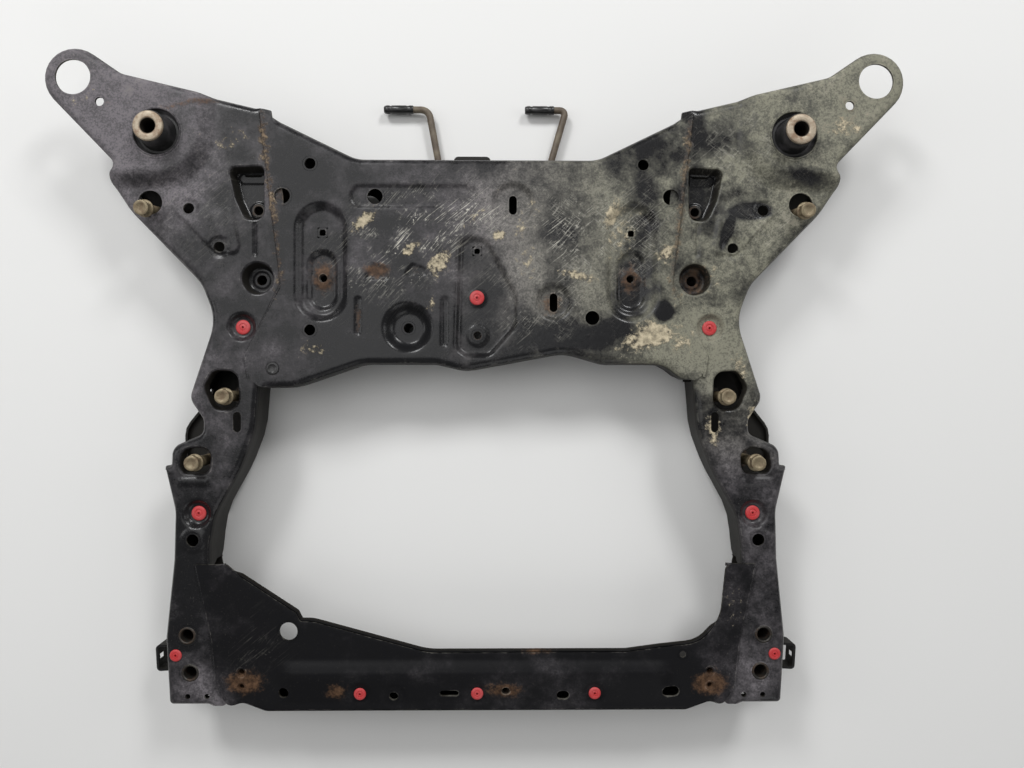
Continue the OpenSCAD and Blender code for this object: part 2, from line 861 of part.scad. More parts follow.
// Ridge with its crease, between two ends where it runs out into the panel
module front_beam() {
    ends = [[-beam_x, 0], [-beam_x + beam_end, crease_h], [beam_x - beam_end, crease_h], [beam_x, 0]];
    m = 6;
    points = [
        for (e = ends)
            each [
                [e[0], beam_front_y, 0],
                [e[0], crease_y, e[1]],
                [e[0], beam_rear_y, 0],
                [e[0], beam_rear_y, -sheet_t],
                [e[0], crease_y, e[1] - sheet_t],
                [e[0], beam_front_y, -sheet_t]
            ]
    ];
    walls = [
        for (i = [0:len(ends) - 2], j = [0:m - 1])
            let (l = (j + 1) % m)
            each [
                [i * m + j, i * m + l, (i + 1) * m + l],
                [i * m + j, (i + 1) * m + l, (i + 1) * m + j]
            ]
    ];
    caps = [
        for (j = [0, 1])
            each [
                [j + 1, j, m - 1 - j, m - 2 - j],
                [for (q = [j, j + 1, m - 2 - j, m - 1 - j]) (len(ends) - 1) * m + q]
            ]
    ];
    polyhedron(points, concat(walls, caps));
}

// Front pressing with its creased beam
module front_lower_sheet() {
    difference() {
        tray(front_outline, front_flange_d)
            front_laps();
        translate([-beam_x, beam_front_y, -sheet_t - cut])
            cube([2 * beam_x, beam_rear_y - beam_front_y, sheet_t + 2 * cut]);
    }
    front_beam();
}

module on_beam(x, y) {
    translate([x, y, panel_z + beam_z(y)])
        rotate([beam_tilt, 0, 0])
            children();
}

module beam_slot(x, y, length, r) {
    on_beam(x, y)
        translate([0, 0, -2 * bend_r])
            linear_extrude(4 * bend_r)
                polygon(slot([-length / 2 + r, 0], [length / 2 - r, 0], r));
}

module front_lower_panel() {
    color(deep_black)
        difference() {
            translate([0, 0, panel_z])
                front_lower_sheet();
            for (x = plug_front_x)
                on_beam(x, plug_front_y)
                    drill([0, 0], plug_hole_r, -2 * bend_r, 2 * bend_r);
            on_beam(front_nut.x, front_nut.y)
                drill([0, 0], nut_bore_r + cut, -2 * bend_r, 2 * bend_r);
            for (b = beam_slots)
                beam_slot(b[0], b[1], b[2], b[3]);
            for (h = front_holes)
                drill(h, h[2]);
        }
}

module front_upper_panel() {
    lap = sheet_t + lap_gap;
    corners = [
        [-front_end_x, front_box_y, 0], [-front_end_x, front_y + front_step, 0],
        [-beam_x - beam_end, front_y + front_step, 14], [-beam_x, front_y + lap, 14],
        [beam_x, front_y + lap, 14], [beam_x + beam_end, front_y + front_step, 14],
        [front_end_x, front_y + front_step, 0], [front_end_x, front_box_y, 0]
    ];
    color(shaded_steel)
        difference() {
            translate([0, 0, inner_up_z])
                mirror([0, 0, 1])
                    tray(rounded(corners), front_wall_top - inner_up_z)
                        front_laps();
            for (x = [-150, 0, 150])
                drill([x, (front_y + beam_rear_y) / 2], upper_hole_r);
        }
}

// Rear body mounts

module bush_can() {
    color(worn_steel)
        translate([bush_x, bush_y])
            tube(can_r, can_in_r, side_up_z - 4, plateau_z + 1);
}

module bush_rubber() {
    skin = 2.6;
    out_r = can_in_r - seat_gap;
    in_r = sleeve_r + seat_gap;
    low = side_up_z + 2;
    high = plateau_z - 14;
    color(rubber_black)
        translate([bush_x, bush_y])
            rotate_extrude()
                polygon([
                    [in_r, low - 4], [in_r + skin, low - 4], [in_r + skin, low + 2], [out_r - 3, low],
                    [out_r, low + 3], [out_r, high - 3], [out_r - 3, high], [in_r + skin, high - 3],
                    [in_r + skin, sleeve_top - 4], [in_r, sleeve_top - 3]
                ]);
}

module bush_sleeve() {
    color(bare_steel)
        translate([bush_x, bush_y])
            tube(sleeve_r, sleeve_bore_r, 0, sleeve_top);
}

module right_bush_can() {
    bush_can();
}

module left_bush_can() {
    mirror([1, 0, 0])
        bush_can();
}

module right_bush_rubber() {
    bush_rubber();
}

module left_bush_rubber() {
    mirror([1, 0, 0])
        bush_rubber();
}

module right_bush_sleeve() {
    bush_sleeve();
}

module left_bush_sleeve() {
    mirror([1, 0, 0])
        bush_sleeve();
}

// Front body mounts

module front_collars() {
    color(worn_steel)
        for (p = collars)
            translate(p)
                tube(collar_r, collar_bore_r, 0, side_z + 1);
}

module right_front_collars() {
    front_collars();
}

module left_front_collars() {
    mirror([1, 0, 0])
        front_collars();
}

// Collars and weld nuts inside the boxes

module rack_collars() {
    color(worn_steel)
        on_both_sides()
            translate(rack_seat)
                tube(rack_bore_r + tube_wall, rack_bore_r, inner_up_z, side_z - rack_seat_d - sheet_t);
}

module torque_rod_collar() {
    color(worn_steel)
        translate(torque_rod)
            tube(
                torque_bore_r + tube_wall, torque_bore_r,
                inner_up_z + sheet_t, panel_z - torque_dish[2] - sheet_t
            );
}

module hex_nut(r, bore, h) {
    difference() {
        cylinder(h = h, r = r, $fn = 6);
        translate([0, 0, -cut])
            cylinder(h = h + 2 * cut, r = bore);
    }
}

// Weld nut under a sheet whose outer face is at z = 0, its pilot filling the hole
module weld_nut() {
    translate([0, 0, -sheet_t - weld_nut_h])
        hex_nut(nut_bore_r + 5, nut_bore_r, weld_nut_h);
    tube(nut_bore_r + cut - pilot_gap, nut_bore_r, -sheet_t - weld_nut_h / 2, 0);
}

module stay_nuts() {
    color(worn_steel) {
        for (x = [-stay_x, stay_x])
            translate([x, stay_y, panel_z - stay_dish_d - stay_floor_d])
                weld_nut();
        translate([egg_nut.x, egg_nut.y, panel_z - egg_d])
            weld_nut();
    }
}

module stabiliser_nuts() {
    floor_z = side_z - pocket_d;
    color(worn_steel)
        on_both_sides()
            translate(stabiliser)
                tube(stabiliser_bore_r + 2, stabiliser_bore_r - 1, floor_z, floor_z + 4);
}

module front_weld_nut() {
    color(worn_steel)
        on_beam(front_nut.x, front_nut.y)
            translate([0, 0, -sheet_t * 1.06 - weld_nut_h])
                hex_nut(nut_bore_r + 5, nut_bore_r, weld_nut_h);
}

// Arm bolts

// Flange bolt with its head's underside at z = 0, the shank reaching down by length
module flange_bolt(d, length) {
    translate([0, 0, -length])
        cylinder(h = length + cut, r = d / 2);
    cylinder(h = 3, r = bolt_flange_r);
    cylinder(h = bolt_head_h, r = hex_r, $fn = 6);
}

module rear_bolt_place() {
    on_both_sides()
        translate([arm_rear.x, arm_rear.y, inner_up_z])
            rotate([arm_lean, 0, 0])
                children();
}

module arm_rear_bolts() {
    color(zinc_brown)
        rear_bolt_place()
            translate([0, 0, head_z + 8 - inner_up_z])
                flange_bolt(arm_rear_d, head_z + 8 - rear_tip_z);
}

module arm_rear_spacers() {
    color(worn_steel)
        on_both_sides()
            translate([arm_rear.x, arm_rear.y])
                tube(spacer_r, spacer_bore_r, inner_up_z, inner_up_z + spacer_h);
}

module arm_front_bolts() {
    color(zinc_brown)
        on_both_sides()
            for (p = [arm_mid, arm_front])
                translate([p.x, p.y, head_z])
                    flange_bolt(arm_front_d, head_z - front_tip_z);
}

module arm_front_nuts() {
    color(worn_steel)
        on_both_sides()
            for (p = [arm_mid, arm_front])
                translate([p.x, p.y, inner_up_z])
                    hex_nut(front_nut_r * 1.1, arm_front_d / 2 + seat_gap, nut_h);
}

// Undertray plugs

// Plug with its seat at z = 0
module plug(r) {
    cylinder(h = plug_h, r = r);
    translate([0, 0, -sheet_t - 3])
        cylinder(h = sheet_t + 3 + cut, r = plug_stem_r);
}

module undertray_plugs() {
    color([0.8, 0.16, 0.16]) {
        on_both_sides() {
            for (p = [seat_a, seat_b])
                translate([p.x, p.y, side_z - plug_dish[2]])
                    plug(plug_r);
            translate([seat_corner.x, seat_corner.y, side_z])
                plug(plug_small_r);
        }
        translate([seat_egg.x, seat_egg.y, panel_z - egg_d])
            plug(plug_r);
        for (x = plug_front_x)
            on_beam(x, plug_front_y)
                plug(plug_small_r);
    }
}

module blind_plug() {
    color(rubber_black)
        translate([blind_hole.x, blind_hole.y, panel_z]) {
            cylinder(h = 1.4, r = blind_r + 2);
            translate([0, 0, -sheet_t - 2])
                cylinder(h = sheet_t + 2 + cut, r = blind_r - seat_gap);
        }
}

// Cooler pipe over the rear crossmember, with its clips and tab

// Hose end along +X from its nose at x = 0
module hose_end() {
    r = hose_d / 2;
    rotate([0, 90, 0])
        rotate_extrude()
            polygon([
                [pipe_d / 2 - 1.2, 0], [r - 1.2, 0], [r - 0.4, 2], [r - 0.4, 6.5], [r + 2.2, 7.5],
                [r + 2.2, 10], [r, 10.5], [r, hose_l - 2], [r + 1, hose_l - 1.5], [r + 1, hose_l + 1],
                [pipe_d / 2 + 0.6, hose_l + 2], [0, hose_l + 2], [0, hose_l - 8], [pipe_d / 2 - 1.2, hose_l - 8]
            ]);
}

module cooler_pipe() {
    color(deep_black)
        translate([0, 0, pipe_z]) {
            bar(run(pipe_route), pipe_d / 2);
            translate(hose_left)
                hose_end();
            translate(hose_right)
                hose_end();
        }
}

module pipe_clips() {
    r = pipe_d / 2 + seat_gap;
    color(rubber_black)
        for (i = clip_legs)
            let (
                p = flat(pipe_route[i]),
                along = flat(pipe_route[i + 1]) - p,
                place = p + (clip_y - p.y) / along.y * along
            )
            translate(place)
                rotate([0, 0, -atan(along.x / along.y)])
                    difference() {
                        union() {
                            translate([0, clip_w / 2, pipe_z])
                                rotate([90, 0, 0])
                                    cylinder(h = clip_w, r = r + 2.2);
                            translate([-r - 5, -clip_w / 2, pipe_z + 1])
                                cube([2 * r + 10, clip_w, inner_up_z - pipe_z - 1]);
                        }
                        translate([0, clip_w, pipe_z])
                            rotate([90, 0, 0])
                                cylinder(h = 2 * clip_w, r = r + clip_play);
                    }
}

module rear_tab() {
    end = tab_at + [tab_w, tab_l];
    tab = [[tab_at.x, tab_at.y, 8], [end.x, tab_at.y, 8], [end.x, end.y, 6], [tab_at.x, end.y, 6]];
    color(shaded_steel)
        difference() {
            prism(rounded(tab), inner_up_z - sheet_t, inner_up_z);
            drill([tab_at.x + tab_w / 2, end.y - tab_hole_in], tab_hole_r);
        }
}

// Slotted brackets on the outer walls of the front corners

module front_bracket() {
    wall = corner_wall[1] - corner_wall[0];
    start = corner_wall[0] + bracket_y / wall.y * wall - [sheet_t + lap_gap - 0.1, 0];
    color(deep_black)
        translate([start.x, start.y, flange_z - bracket_h - 4])
            rotate([0, 0, -atan(wall.x / wall.y)])
                translate([0, -bracket_l / 2, 0])
                    difference() {
                        linear_extrude(bracket_h)
                            polygon(rounded([
                                [0, 0, 0], [bracket_out, 0, 5],
                                [bracket_out, bracket_l, 5], [0, bracket_l, 0],
                                [0, bracket_l - sheet_t, 0], [bracket_out - sheet_t, bracket_l - sheet_t, 2],
                                [bracket_out - sheet_t, sheet_t, 2], [0, sheet_t, 0]
                            ]));
                        translate([0, bracket_l / 2 - 4, 5])
                            cube([far, 8, bracket_h - 10]);
                    }
}

module right_front_bracket() {
    front_bracket();
}

module left_front_bracket() {
    mirror([1, 0, 0])
        front_bracket();
}

rear_lower_panel();
rear_upper_panel();
left_side_lower_panel();
right_side_lower_panel();
left_side_upper_panel();
right_side_upper_panel();
front_lower_panel();
front_upper_panel();
left_bush_can();
right_bush_can();
left_bush_rubber();
right_bush_rubber();
left_bush_sleeve();
right_bush_sleeve();
left_front_collars();
right_front_collars();
rack_collars();
torque_rod_collar();
arm_rear_bolts();
arm_rear_spacers();
arm_front_bolts();
arm_front_nuts();
stay_nuts();
stabiliser_nuts();
front_weld_nut();
undertray_plugs();
blind_plug();
cooler_pipe();
pipe_clips();
rear_tab();
left_front_bracket();
right_front_bracket();
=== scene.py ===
"""Looks of a pressed and welded front subframe, carried on its CAD frame.

Lengths in the code are millimetres; the frame, the properties and the finished meshes are in metres."""

import json

import bmesh
import bpy
import numpy as np
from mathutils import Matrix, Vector


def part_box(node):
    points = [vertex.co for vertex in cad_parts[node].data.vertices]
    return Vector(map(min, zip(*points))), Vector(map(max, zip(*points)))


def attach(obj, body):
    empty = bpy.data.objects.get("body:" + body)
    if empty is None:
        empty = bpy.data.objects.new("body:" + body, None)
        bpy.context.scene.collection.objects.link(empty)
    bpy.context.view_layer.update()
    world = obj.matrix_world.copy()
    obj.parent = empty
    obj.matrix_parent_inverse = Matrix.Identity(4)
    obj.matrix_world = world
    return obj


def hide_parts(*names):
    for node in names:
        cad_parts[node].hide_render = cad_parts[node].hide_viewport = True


bl_info = {
    "name": "Front subframe looks",
    "version": (1, 0, 0),
    "blender": (4, 5, 0),
    "location": "3D View > Sidebar > Subframe",
    "description": "Pressed panels, bushes, fasteners, welds and worn black coat of a front subframe",
    "category": "Object",
}

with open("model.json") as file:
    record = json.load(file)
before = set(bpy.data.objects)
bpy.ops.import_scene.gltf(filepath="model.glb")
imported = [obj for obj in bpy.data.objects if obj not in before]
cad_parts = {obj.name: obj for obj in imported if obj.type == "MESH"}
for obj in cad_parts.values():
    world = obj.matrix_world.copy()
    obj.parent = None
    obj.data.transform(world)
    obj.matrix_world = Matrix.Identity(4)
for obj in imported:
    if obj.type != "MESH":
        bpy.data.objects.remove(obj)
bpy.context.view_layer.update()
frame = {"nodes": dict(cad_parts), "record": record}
MOUNTS = {row["name"]: row for row in frame["record"]["mounts"]}
MM = 0.001


def place(name):
    """Where a mount of the record is, seen from above."""
    return tuple(round(v / MM, 3) for v in MOUNTS[name]["pos_m"][:2])


def bore(name):
    """Radius of a mount's bore."""
    return MOUNTS[name]["dims"]["r_mm"]


# Heights of the sheets and depths of the plugs' seats
SIDE_Z = 85.0
PANEL_Z = 88.0
PLATEAU_RISE = 12.0
PLUG_DISH = 7.0
EGG_PLUG_DEPTH = 4.8

# Places and hole sizes of the fittings; those that are mirrored are given for the right-hand side
SIDES = (("left", -1), ("right", 1))
BUSH = place("right_rear_body_mount")
EAR = place("right_ear_loop")
EAR_RADIUS = 38.0
FRONT_MOUNTS = (place("right_front_body_mount_a"), place("right_front_body_mount_b"))
RACK_BOLT = place("right_steering_gear_bolt")
STABILISER_NUT = place("right_stabiliser_nut")
STAY_NUT = place("right_stay_nut")
ARM_REAR_BOLT = place("right_arm_rear")
ARM_FRONT_BOLTS = ((317.0, -19.3), (354.8, -102.6))
TORQUE_ROD = place("torque_rod_bolt")
EGG_NUT = place("undertray_nut")
EGG_PLUG = (0.0, 106.7)
BLIND_PLUG = (-258.6, 16.3)
FRONT_NUT = (37.2, -392.0)
SIDE_PLUGS = ((298.9, 68.8), (354.7, -168.6))
CORNER_PLUG = (380.9, -347.7)
FRONT_PLUGS = ((-147.0, -395.0), (1.0, -395.0), (150.0, -395.0))
PLUG_HOLE = 4.35
NUT_HOLE = 5.4

# Angles in degrees under which neighbouring faces are shaded as one
TURNED_ANGLE = 40.0
PRESSED_ANGLE = 50.0
DRESSED_ANGLE = 30.0

# A length that reaches past every edge
FAR = 900.0


# User values

def length(name, words, value):
    """A length property, in metres."""
    return bpy.props.FloatProperty(name=name, description=words, default=value, unit="LENGTH")


def power(name, words, value):
    """The power of a lamp, in watts."""
    return bpy.props.FloatProperty(name=name, description=words, default=value, unit="POWER")


def colour(name, words, value):
    """A colour property."""
    return bpy.props.FloatVectorProperty(
        name=name, description=words, default=value, size=3, min=0.0, max=1.0, subtype="COLOR")


class SubframeSheet(bpy.types.PropertyGroup):
    """Sizes of the pressed sheet."""
    thickness: length("Sheet thickness", "Thickness of the pressed steel", 0.003)
    bend: length("Bend radius", "Outer radius where a panel turns down into its flange", 0.009)
    flange: length("Flange depth", "Depth of the turned flange of the rear and side panels", 0.025)
    front_flange: length("Front flange depth", "Depth of the turned flange of the front panel", 0.036)
    front_bend: length("Front bend radius", "Outer radius of the front panel's edge bends", 0.0045)
    cell: length("Mesh cell", "Spacing of the grid that a panel is worked out on", 0.002)
    bead: length("Weld bead", "Radius of the weld beads along the seams", 0.002)


class SubframeFinish(bpy.types.PropertyGroup):
    """Colours of the finishes."""
    coat: colour("Black coat", "Dipped coat of the pressings", (0.0085, 0.0085, 0.0095))
    # Painted shade: this dark brown colour is laid on upright walls and on the deep trays between the panels,
    # where shade falls
    deep: colour("Coat in the shade", "Unwashed coat of the walls", (0.011, 0.0095, 0.007))
    # Painted sheen: grey dust whose purple cast stands in for the bluish sheen on the left
    film_and_sheen_left: colour("Dust film, left", "Dry grey film on the left", (0.165, 0.151, 0.163))
    grit: colour("Grit", "Pale grit in the dust", (0.30, 0.28, 0.225))
    film_right: colour("Dust film, right", "Dry olive film on the right", (0.225, 0.220, 0.168))
    pale: colour("Scratches", "Pale lines where the coat is scraped", (0.55, 0.53, 0.46))
    mud: colour("Mud", "Dried tan mud", (0.33, 0.285, 0.20))
    rust: colour("Rust", "Rust at welds, holes and chips", (0.088, 0.050, 0.029))
    bare: colour("Bare steel", "Bare end of a bush sleeve", (0.40, 0.335, 0.25))
    steel: colour("Worn steel", "Collars and nuts", (0.045, 0.042, 0.038))
    zinc: colour("Yellow zinc", "Dull plating of the arm bolts", (0.25, 0.205, 0.13))
    plug: colour("Red plug", "Moulded fixing plugs", (0.47, 0.032, 0.035))
    rubber: colour("Rubber", "Bush rubber, hose ends and blind plug", (0.012, 0.012, 0.012))
    pipe: colour("Pipe", "Dirty coat of the cooler pipe", (0.085, 0.062, 0.042))


class SubframeStage(bpy.types.PropertyGroup):
    """Floor, lamps and camera."""
    floor: colour("Floor", "Plain pale floor", (0.78, 0.78, 0.77))
    camera_x: length("Camera X", "Camera place along the width", 0.03323)
    camera_y: length("Camera Y", "Camera place along the length", -0.00482)
    camera_height: length("Camera height", "Height of the camera over the floor", 1.05407)
    camera_turn: bpy.props.FloatVectorProperty(
        name="Camera turn", description="Small turn of the camera from straight down", subtype="EULER",
        default=(0.00166, -0.0119, 0.00108))
    lens: bpy.props.FloatProperty(
        name="Lens", description="Focal length on a 36 mm sensor", default=26.72, unit="CAMERA")
    key: power("Key lamps", "Power of the two lamps behind the rear edge, together", 96.0)
    top: power("Top lamp", "Power of the wide lamp overhead, left of the middle", 16.0)
    fill: power("Fill lamp", "Power of the soft lamp in front", 5.0)
    side: power("Side lamps", "Power of each lamp at the sides", 5.0)
    sky: bpy.props.FloatProperty(
        name="Sky", description="Strength of the even light all round", default=0.16, min=0.0)


# Plane geometry

def unit(v):
    """Vectors over their lengths."""
    return v / np.maximum(np.linalg.norm(v, axis=-1, keepdims=True), 1e-12)


def rounded(corners, steps=9):
    """Loop whose corners [x, y, radius] are arcs: each corner is cut back by radius over the tangent of
    its half angle, and the two ends are joined by turning one spoke of the arc's centre into the other."""
    c = np.asarray(corners, float)
    p, r = c[:, :2], c[:, 2]
    back, ahead = np.roll(p, 1, 0) - p, np.roll(p, -1, 0) - p
    room = 0.499 * np.minimum(np.linalg.norm(back, axis=1), np.linalg.norm(ahead, axis=1))
    a, b = unit(back), unit(ahead)
    half = 0.5 * np.arccos(np.clip((a * b).sum(1), -1.0, 1.0))
    half = np.clip(half, 1e-3, np.pi / 2 - 1e-4)
    cut = np.minimum(r / np.tan(half), room)
    centre = p + unit(a + b) * (cut / np.cos(half))[:, None]
    first, last = p + a * cut[:, None] - centre, p + b * cut[:, None] - centre
    turn = (np.pi - 2 * half)[:, None, None]
    s = np.linspace(0.0, 1.0, steps)[None, :, None]
    arc = (np.sin((1 - s) * turn) * first[:, None] + np.sin(s * turn) * last[:, None]) / np.sin(turn)
    return (centre[:, None] + arc).reshape(-1, 2)


def even(loop, step, closed=True):
    """The same line with points a step apart, by its running length."""
    line = np.vstack([loop, loop[:1]]) if closed else loop
    run = np.r_[0.0, np.cumsum(np.linalg.norm(np.diff(line, axis=0), axis=1))]
    keep = np.r_[True, np.diff(run) > 1e-6]
    line, run = line[keep], run[keep]
    n = max(int(run[-1] / step), 6)
    at = np.linspace(0.0, run[-1], n + (0 if closed else 1), endpoint=not closed)
    return np.stack([np.interp(at, run, line[:, k]) for k in range(line.shape[1])], axis=1)


def to_loop(points, loop):
    """Signed distance to a closed loop: the nearest of its sides, negative inside, where a ray to one
    side crosses an odd number of them."""
    a, b = loop, np.roll(loop, -1, 0)
    keep = np.linalg.norm(b - a, axis=1) > 1e-6
    a, b = a[keep], b[keep]
    side, square = b - a, ((b - a) ** 2).sum(1)
    out = []
    for p in np.array_split(points, max(1, len(points) // 3000)):
        w = p[:, None] - a[None]
        t = np.clip((w * side).sum(2) / square, 0.0, 1.0)
        near = np.linalg.norm(w - t[..., None] * side, axis=2).min(1)
        over = (a[:, 1] > p[:, 1:2]) != (b[:, 1] > p[:, 1:2])
        rise = np.where(np.abs(side[:, 1]) < 1e-12, 1e-12, side[:, 1])
        cross = p[:, :1] < a[:, 0] + (p[:, 1:2] - a[:, 1]) * side[:, 0] / rise
        out.append(np.where((over & cross).sum(1) % 2 == 1, -near, near))
    return np.concatenate(out)


def boxed(away, low, high):
    """A distance function that carries the box of its shape."""
    away.box = (np.asarray(low, float), np.asarray(high, float))
    return away


def disc(x, y, r):
    """Distance to a circle, negative inside."""
    return boxed(lambda p: np.hypot(p[:, 0] - x, p[:, 1] - y) - r, [x - r, y - r], [x + r, y + r])


def slot(x0, y0, x1, y1, r):
    """Distance to a round-ended slot: that to its middle line less the radius."""
    a, d = np.array([x0, y0]), np.array([x1 - x0, y1 - y0])

    def away(p):
        """Distance from the nearest point of the middle line, less the radius."""
        t = np.clip(((p - a) @ d) / (d @ d), 0.0, 1.0)
        return np.linalg.norm(p - a - t[:, None] * d, axis=1) - r
    return boxed(away, np.minimum(a, a + d) - r, np.maximum(a, a + d) + r)


def square(x, y, w):
    """Distance to a square of that width, by its farther axis."""
    return boxed(lambda p: np.maximum(np.abs(p[:, 0] - x), np.abs(p[:, 1] - y)) - w / 2,
                 [x - w / 2, y - w / 2], [x + w / 2, y + w / 2])


def outline(corners):
    """Distance to a loop with rounded corners."""
    loop = rounded(corners)
    return boxed(lambda p: to_loop(p, loop), loop.min(0), loop.max(0))


def zone(corners):
    """Distance to a loop with sharp corners."""
    return outline([[x, y, 0.0] for x, y in corners])


def swap(corners):
    """A loop on the other side: X changes sign and the order turns round."""
    return [[-c[0]] + list(c[1:]) for c in corners[::-1]]


def soft(t):
    """S-curve from 0 to 1 with level ends."""
    t = np.clip(t, 0.0, 1.0)
    return t * t * (3.0 - 2.0 * t)


# Meshes

def grid_faces(rows, cols, wrap=True, flip=False):
    """Quads of a grid of rows by columns, the last column joined to the first where it wraps."""
    i = np.arange(rows - 1)[:, None] * cols
    j = np.arange(cols if wrap else cols - 1)[None, :]
    k = (j + 1) % cols
    quads = np.stack([i + j, i + cols + j, i + cols + k, i + k], axis=2).reshape(-1, 4)
    return quads[:, ::-1] if flip else quads


def gather(parts):
    """One list of points and one of faces from several (points, [face arrays])."""
    points, faces, start = [], [], 0
    for v, groups in parts:
        points.append(v)
        for group in groups:
            faces += (np.asarray(group) + start).tolist()
        start += len(v)
    return np.vstack(points), faces


def mirrored(points, faces):
    """The same shape with X turned over, and its faces turned back to point outwards."""
    return points * np.array([-1.0, 1.0, 1.0]), [f[::-1] for f in faces]


def lathe(rows, steps=64, corners=0, hexed=(), closed=False):
    """Rows [radius, height] turned about the axis. Rows named in hexed follow a polygon of that many
    corners: the flat's distance over the cosine of the angle from the middle of the flat."""
    rows = np.asarray(rows, float)
    turn = np.linspace(0.0, 2 * np.pi, steps, endpoint=False)
    radius = np.repeat(rows[:, :1], steps, axis=1)
    height = np.repeat(rows[:, 1:2], steps, axis=1)
    if corners:
        part = np.pi / corners
        swell = np.cos(part) / np.cos((turn + part) % (2 * part) - part)
        radius[list(hexed)] = radius[list(hexed)] * swell
    v = np.stack([radius * np.cos(turn), radius * np.sin(turn), height], axis=2).reshape(-1, 3)
    faces = [grid_faces(len(rows), steps, flip=True)]
    if closed:
        last = (len(rows) - 1) * steps + np.arange(steps)
        first = np.arange(steps)
        faces.append(np.stack([last, np.roll(last, -1), np.roll(first, -1), first], axis=1))
    else:
        faces += [np.arange(steps)[None, ::-1], ((len(rows) - 1) * steps + np.arange(steps))[None]]
    return v, faces


def placed(part, x, y, z=0.0, lean=0.0, along_x=False):
    """A turned part moved to its place; it leans towards -Y by an angle, or lies along X."""
    v, faces = part
    if along_x:
        v = np.stack([v[:, 2], v[:, 0], v[:, 1]], axis=1)
    c, s = np.cos(np.radians(lean)), np.sin(np.radians(lean))
    v = np.stack([v[:, 0], c * v[:, 1] - s * v[:, 2], s * v[:, 1] + c * v[:, 2]], axis=1)
    return v + np.array([x, y, z]), faces


def swept(path, radius, steps=20):
    """A round tube: at each point of the path a ring stands across its direction, capped at both ends."""
    path = np.asarray(path, float)
    radius = np.broadcast_to(np.asarray(radius, float), (len(path),))
    ahead = unit(np.gradient(path, axis=0))
    side = unit(np.cross(ahead, np.array([0.0, 0.0, 1.0])))
    up = np.cross(side, ahead)
    turn = np.linspace(0.0, 2 * np.pi, steps, endpoint=False)[None, :, None]
    across = np.cos(turn) * side[:, None] + np.sin(turn) * up[:, None]
    ring = path[:, None] + radius[:, None, None] * across
    n = len(path)
    return ring.reshape(-1, 3), [
        grid_faces(n, steps), np.arange(steps)[None], ((n - 1) * steps + np.arange(steps))[None, ::-1]]


def sheet_grid(outside, height, low, high, cell):
    """Top face of a pressing on a regular grid. Points within about half a cell of the edge slide on to it,
    down the slope of the distance; squares with four points inside are kept, unless they shrank to a
    sliver, and those with three give a triangle."""
    reach, probe, settled = 0.62 * cell, 0.04, 0.12
    least_quad, least_triangle = 0.15 * cell * cell, 0.06 * cell * cell
    nx, ny = (int((high[k] - low[k]) / cell) + 1 for k in (0, 1))
    gx, gy = np.meshgrid(low[0] + cell * np.arange(nx), low[1] + cell * np.arange(ny))
    p = np.stack([gx.ravel(), gy.ravel()], axis=1)
    d = outside(p)
    near = np.abs(d) < reach
    q = p[near]
    for _ in range(2):
        away = outside(q)
        rises = [outside(q + step) - outside(q - step) for step in ([probe, 0.0], [0.0, probe])]
        slope = np.stack(rises, axis=1) / (2 * probe)
        q = q - away[:, None] * slope / np.maximum((slope ** 2).sum(1), 0.2)[:, None]
    away = outside(q)
    p[near], d[near] = q, np.where(np.abs(away) < settled, 0.0, away)
    inside = (d <= 0.0).reshape(ny, nx)
    at = np.arange(nx * ny).reshape(ny, nx)
    ring = np.stack([at[:-1, :-1], at[:-1, 1:], at[1:, 1:], at[1:, :-1]], axis=2).reshape(-1, 4)
    there = inside.ravel()[ring]
    quads = ring[there.sum(1) == 4]
    one, two = p[quads[:, 2]] - p[quads[:, 0]], p[quads[:, 3]] - p[quads[:, 1]]
    quads = quads[one[:, 0] * two[:, 1] - one[:, 1] * two[:, 0] > least_quad]
    some = there.sum(1) == 3
    gap = np.argmin(there[some], axis=1)
    thirds = ring[some][np.arange(some.sum())[:, None], (gap[:, None] + np.array([[1, 2, 3]])) % 4]
    a, b, c = (p[thirds[:, k]] for k in range(3))
    area = (b - a)[:, 0] * (c - a)[:, 1] - (b - a)[:, 1] * (c - a)[:, 0]
    thirds = thirds[area > least_triangle]
    used, flat = np.unique(np.r_[quads.ravel(), thirds.ravel()], return_inverse=True)
    quads, thirds = flat[:quads.size].reshape(-1, 4), flat[quads.size:].reshape(-1, 3)
    xy = p[used]
    return np.column_stack([xy, height(xy)]), [quads, thirds]


def offset(loop, inset):
    """A loop moved inwards along its own normals."""
    ahead = unit(np.roll(loop, -1, 0) - np.roll(loop, 1, 0))
    return loop + np.stack([-ahead[:, 1], ahead[:, 0]], axis=1) * np.reshape(inset, (-1, 1))


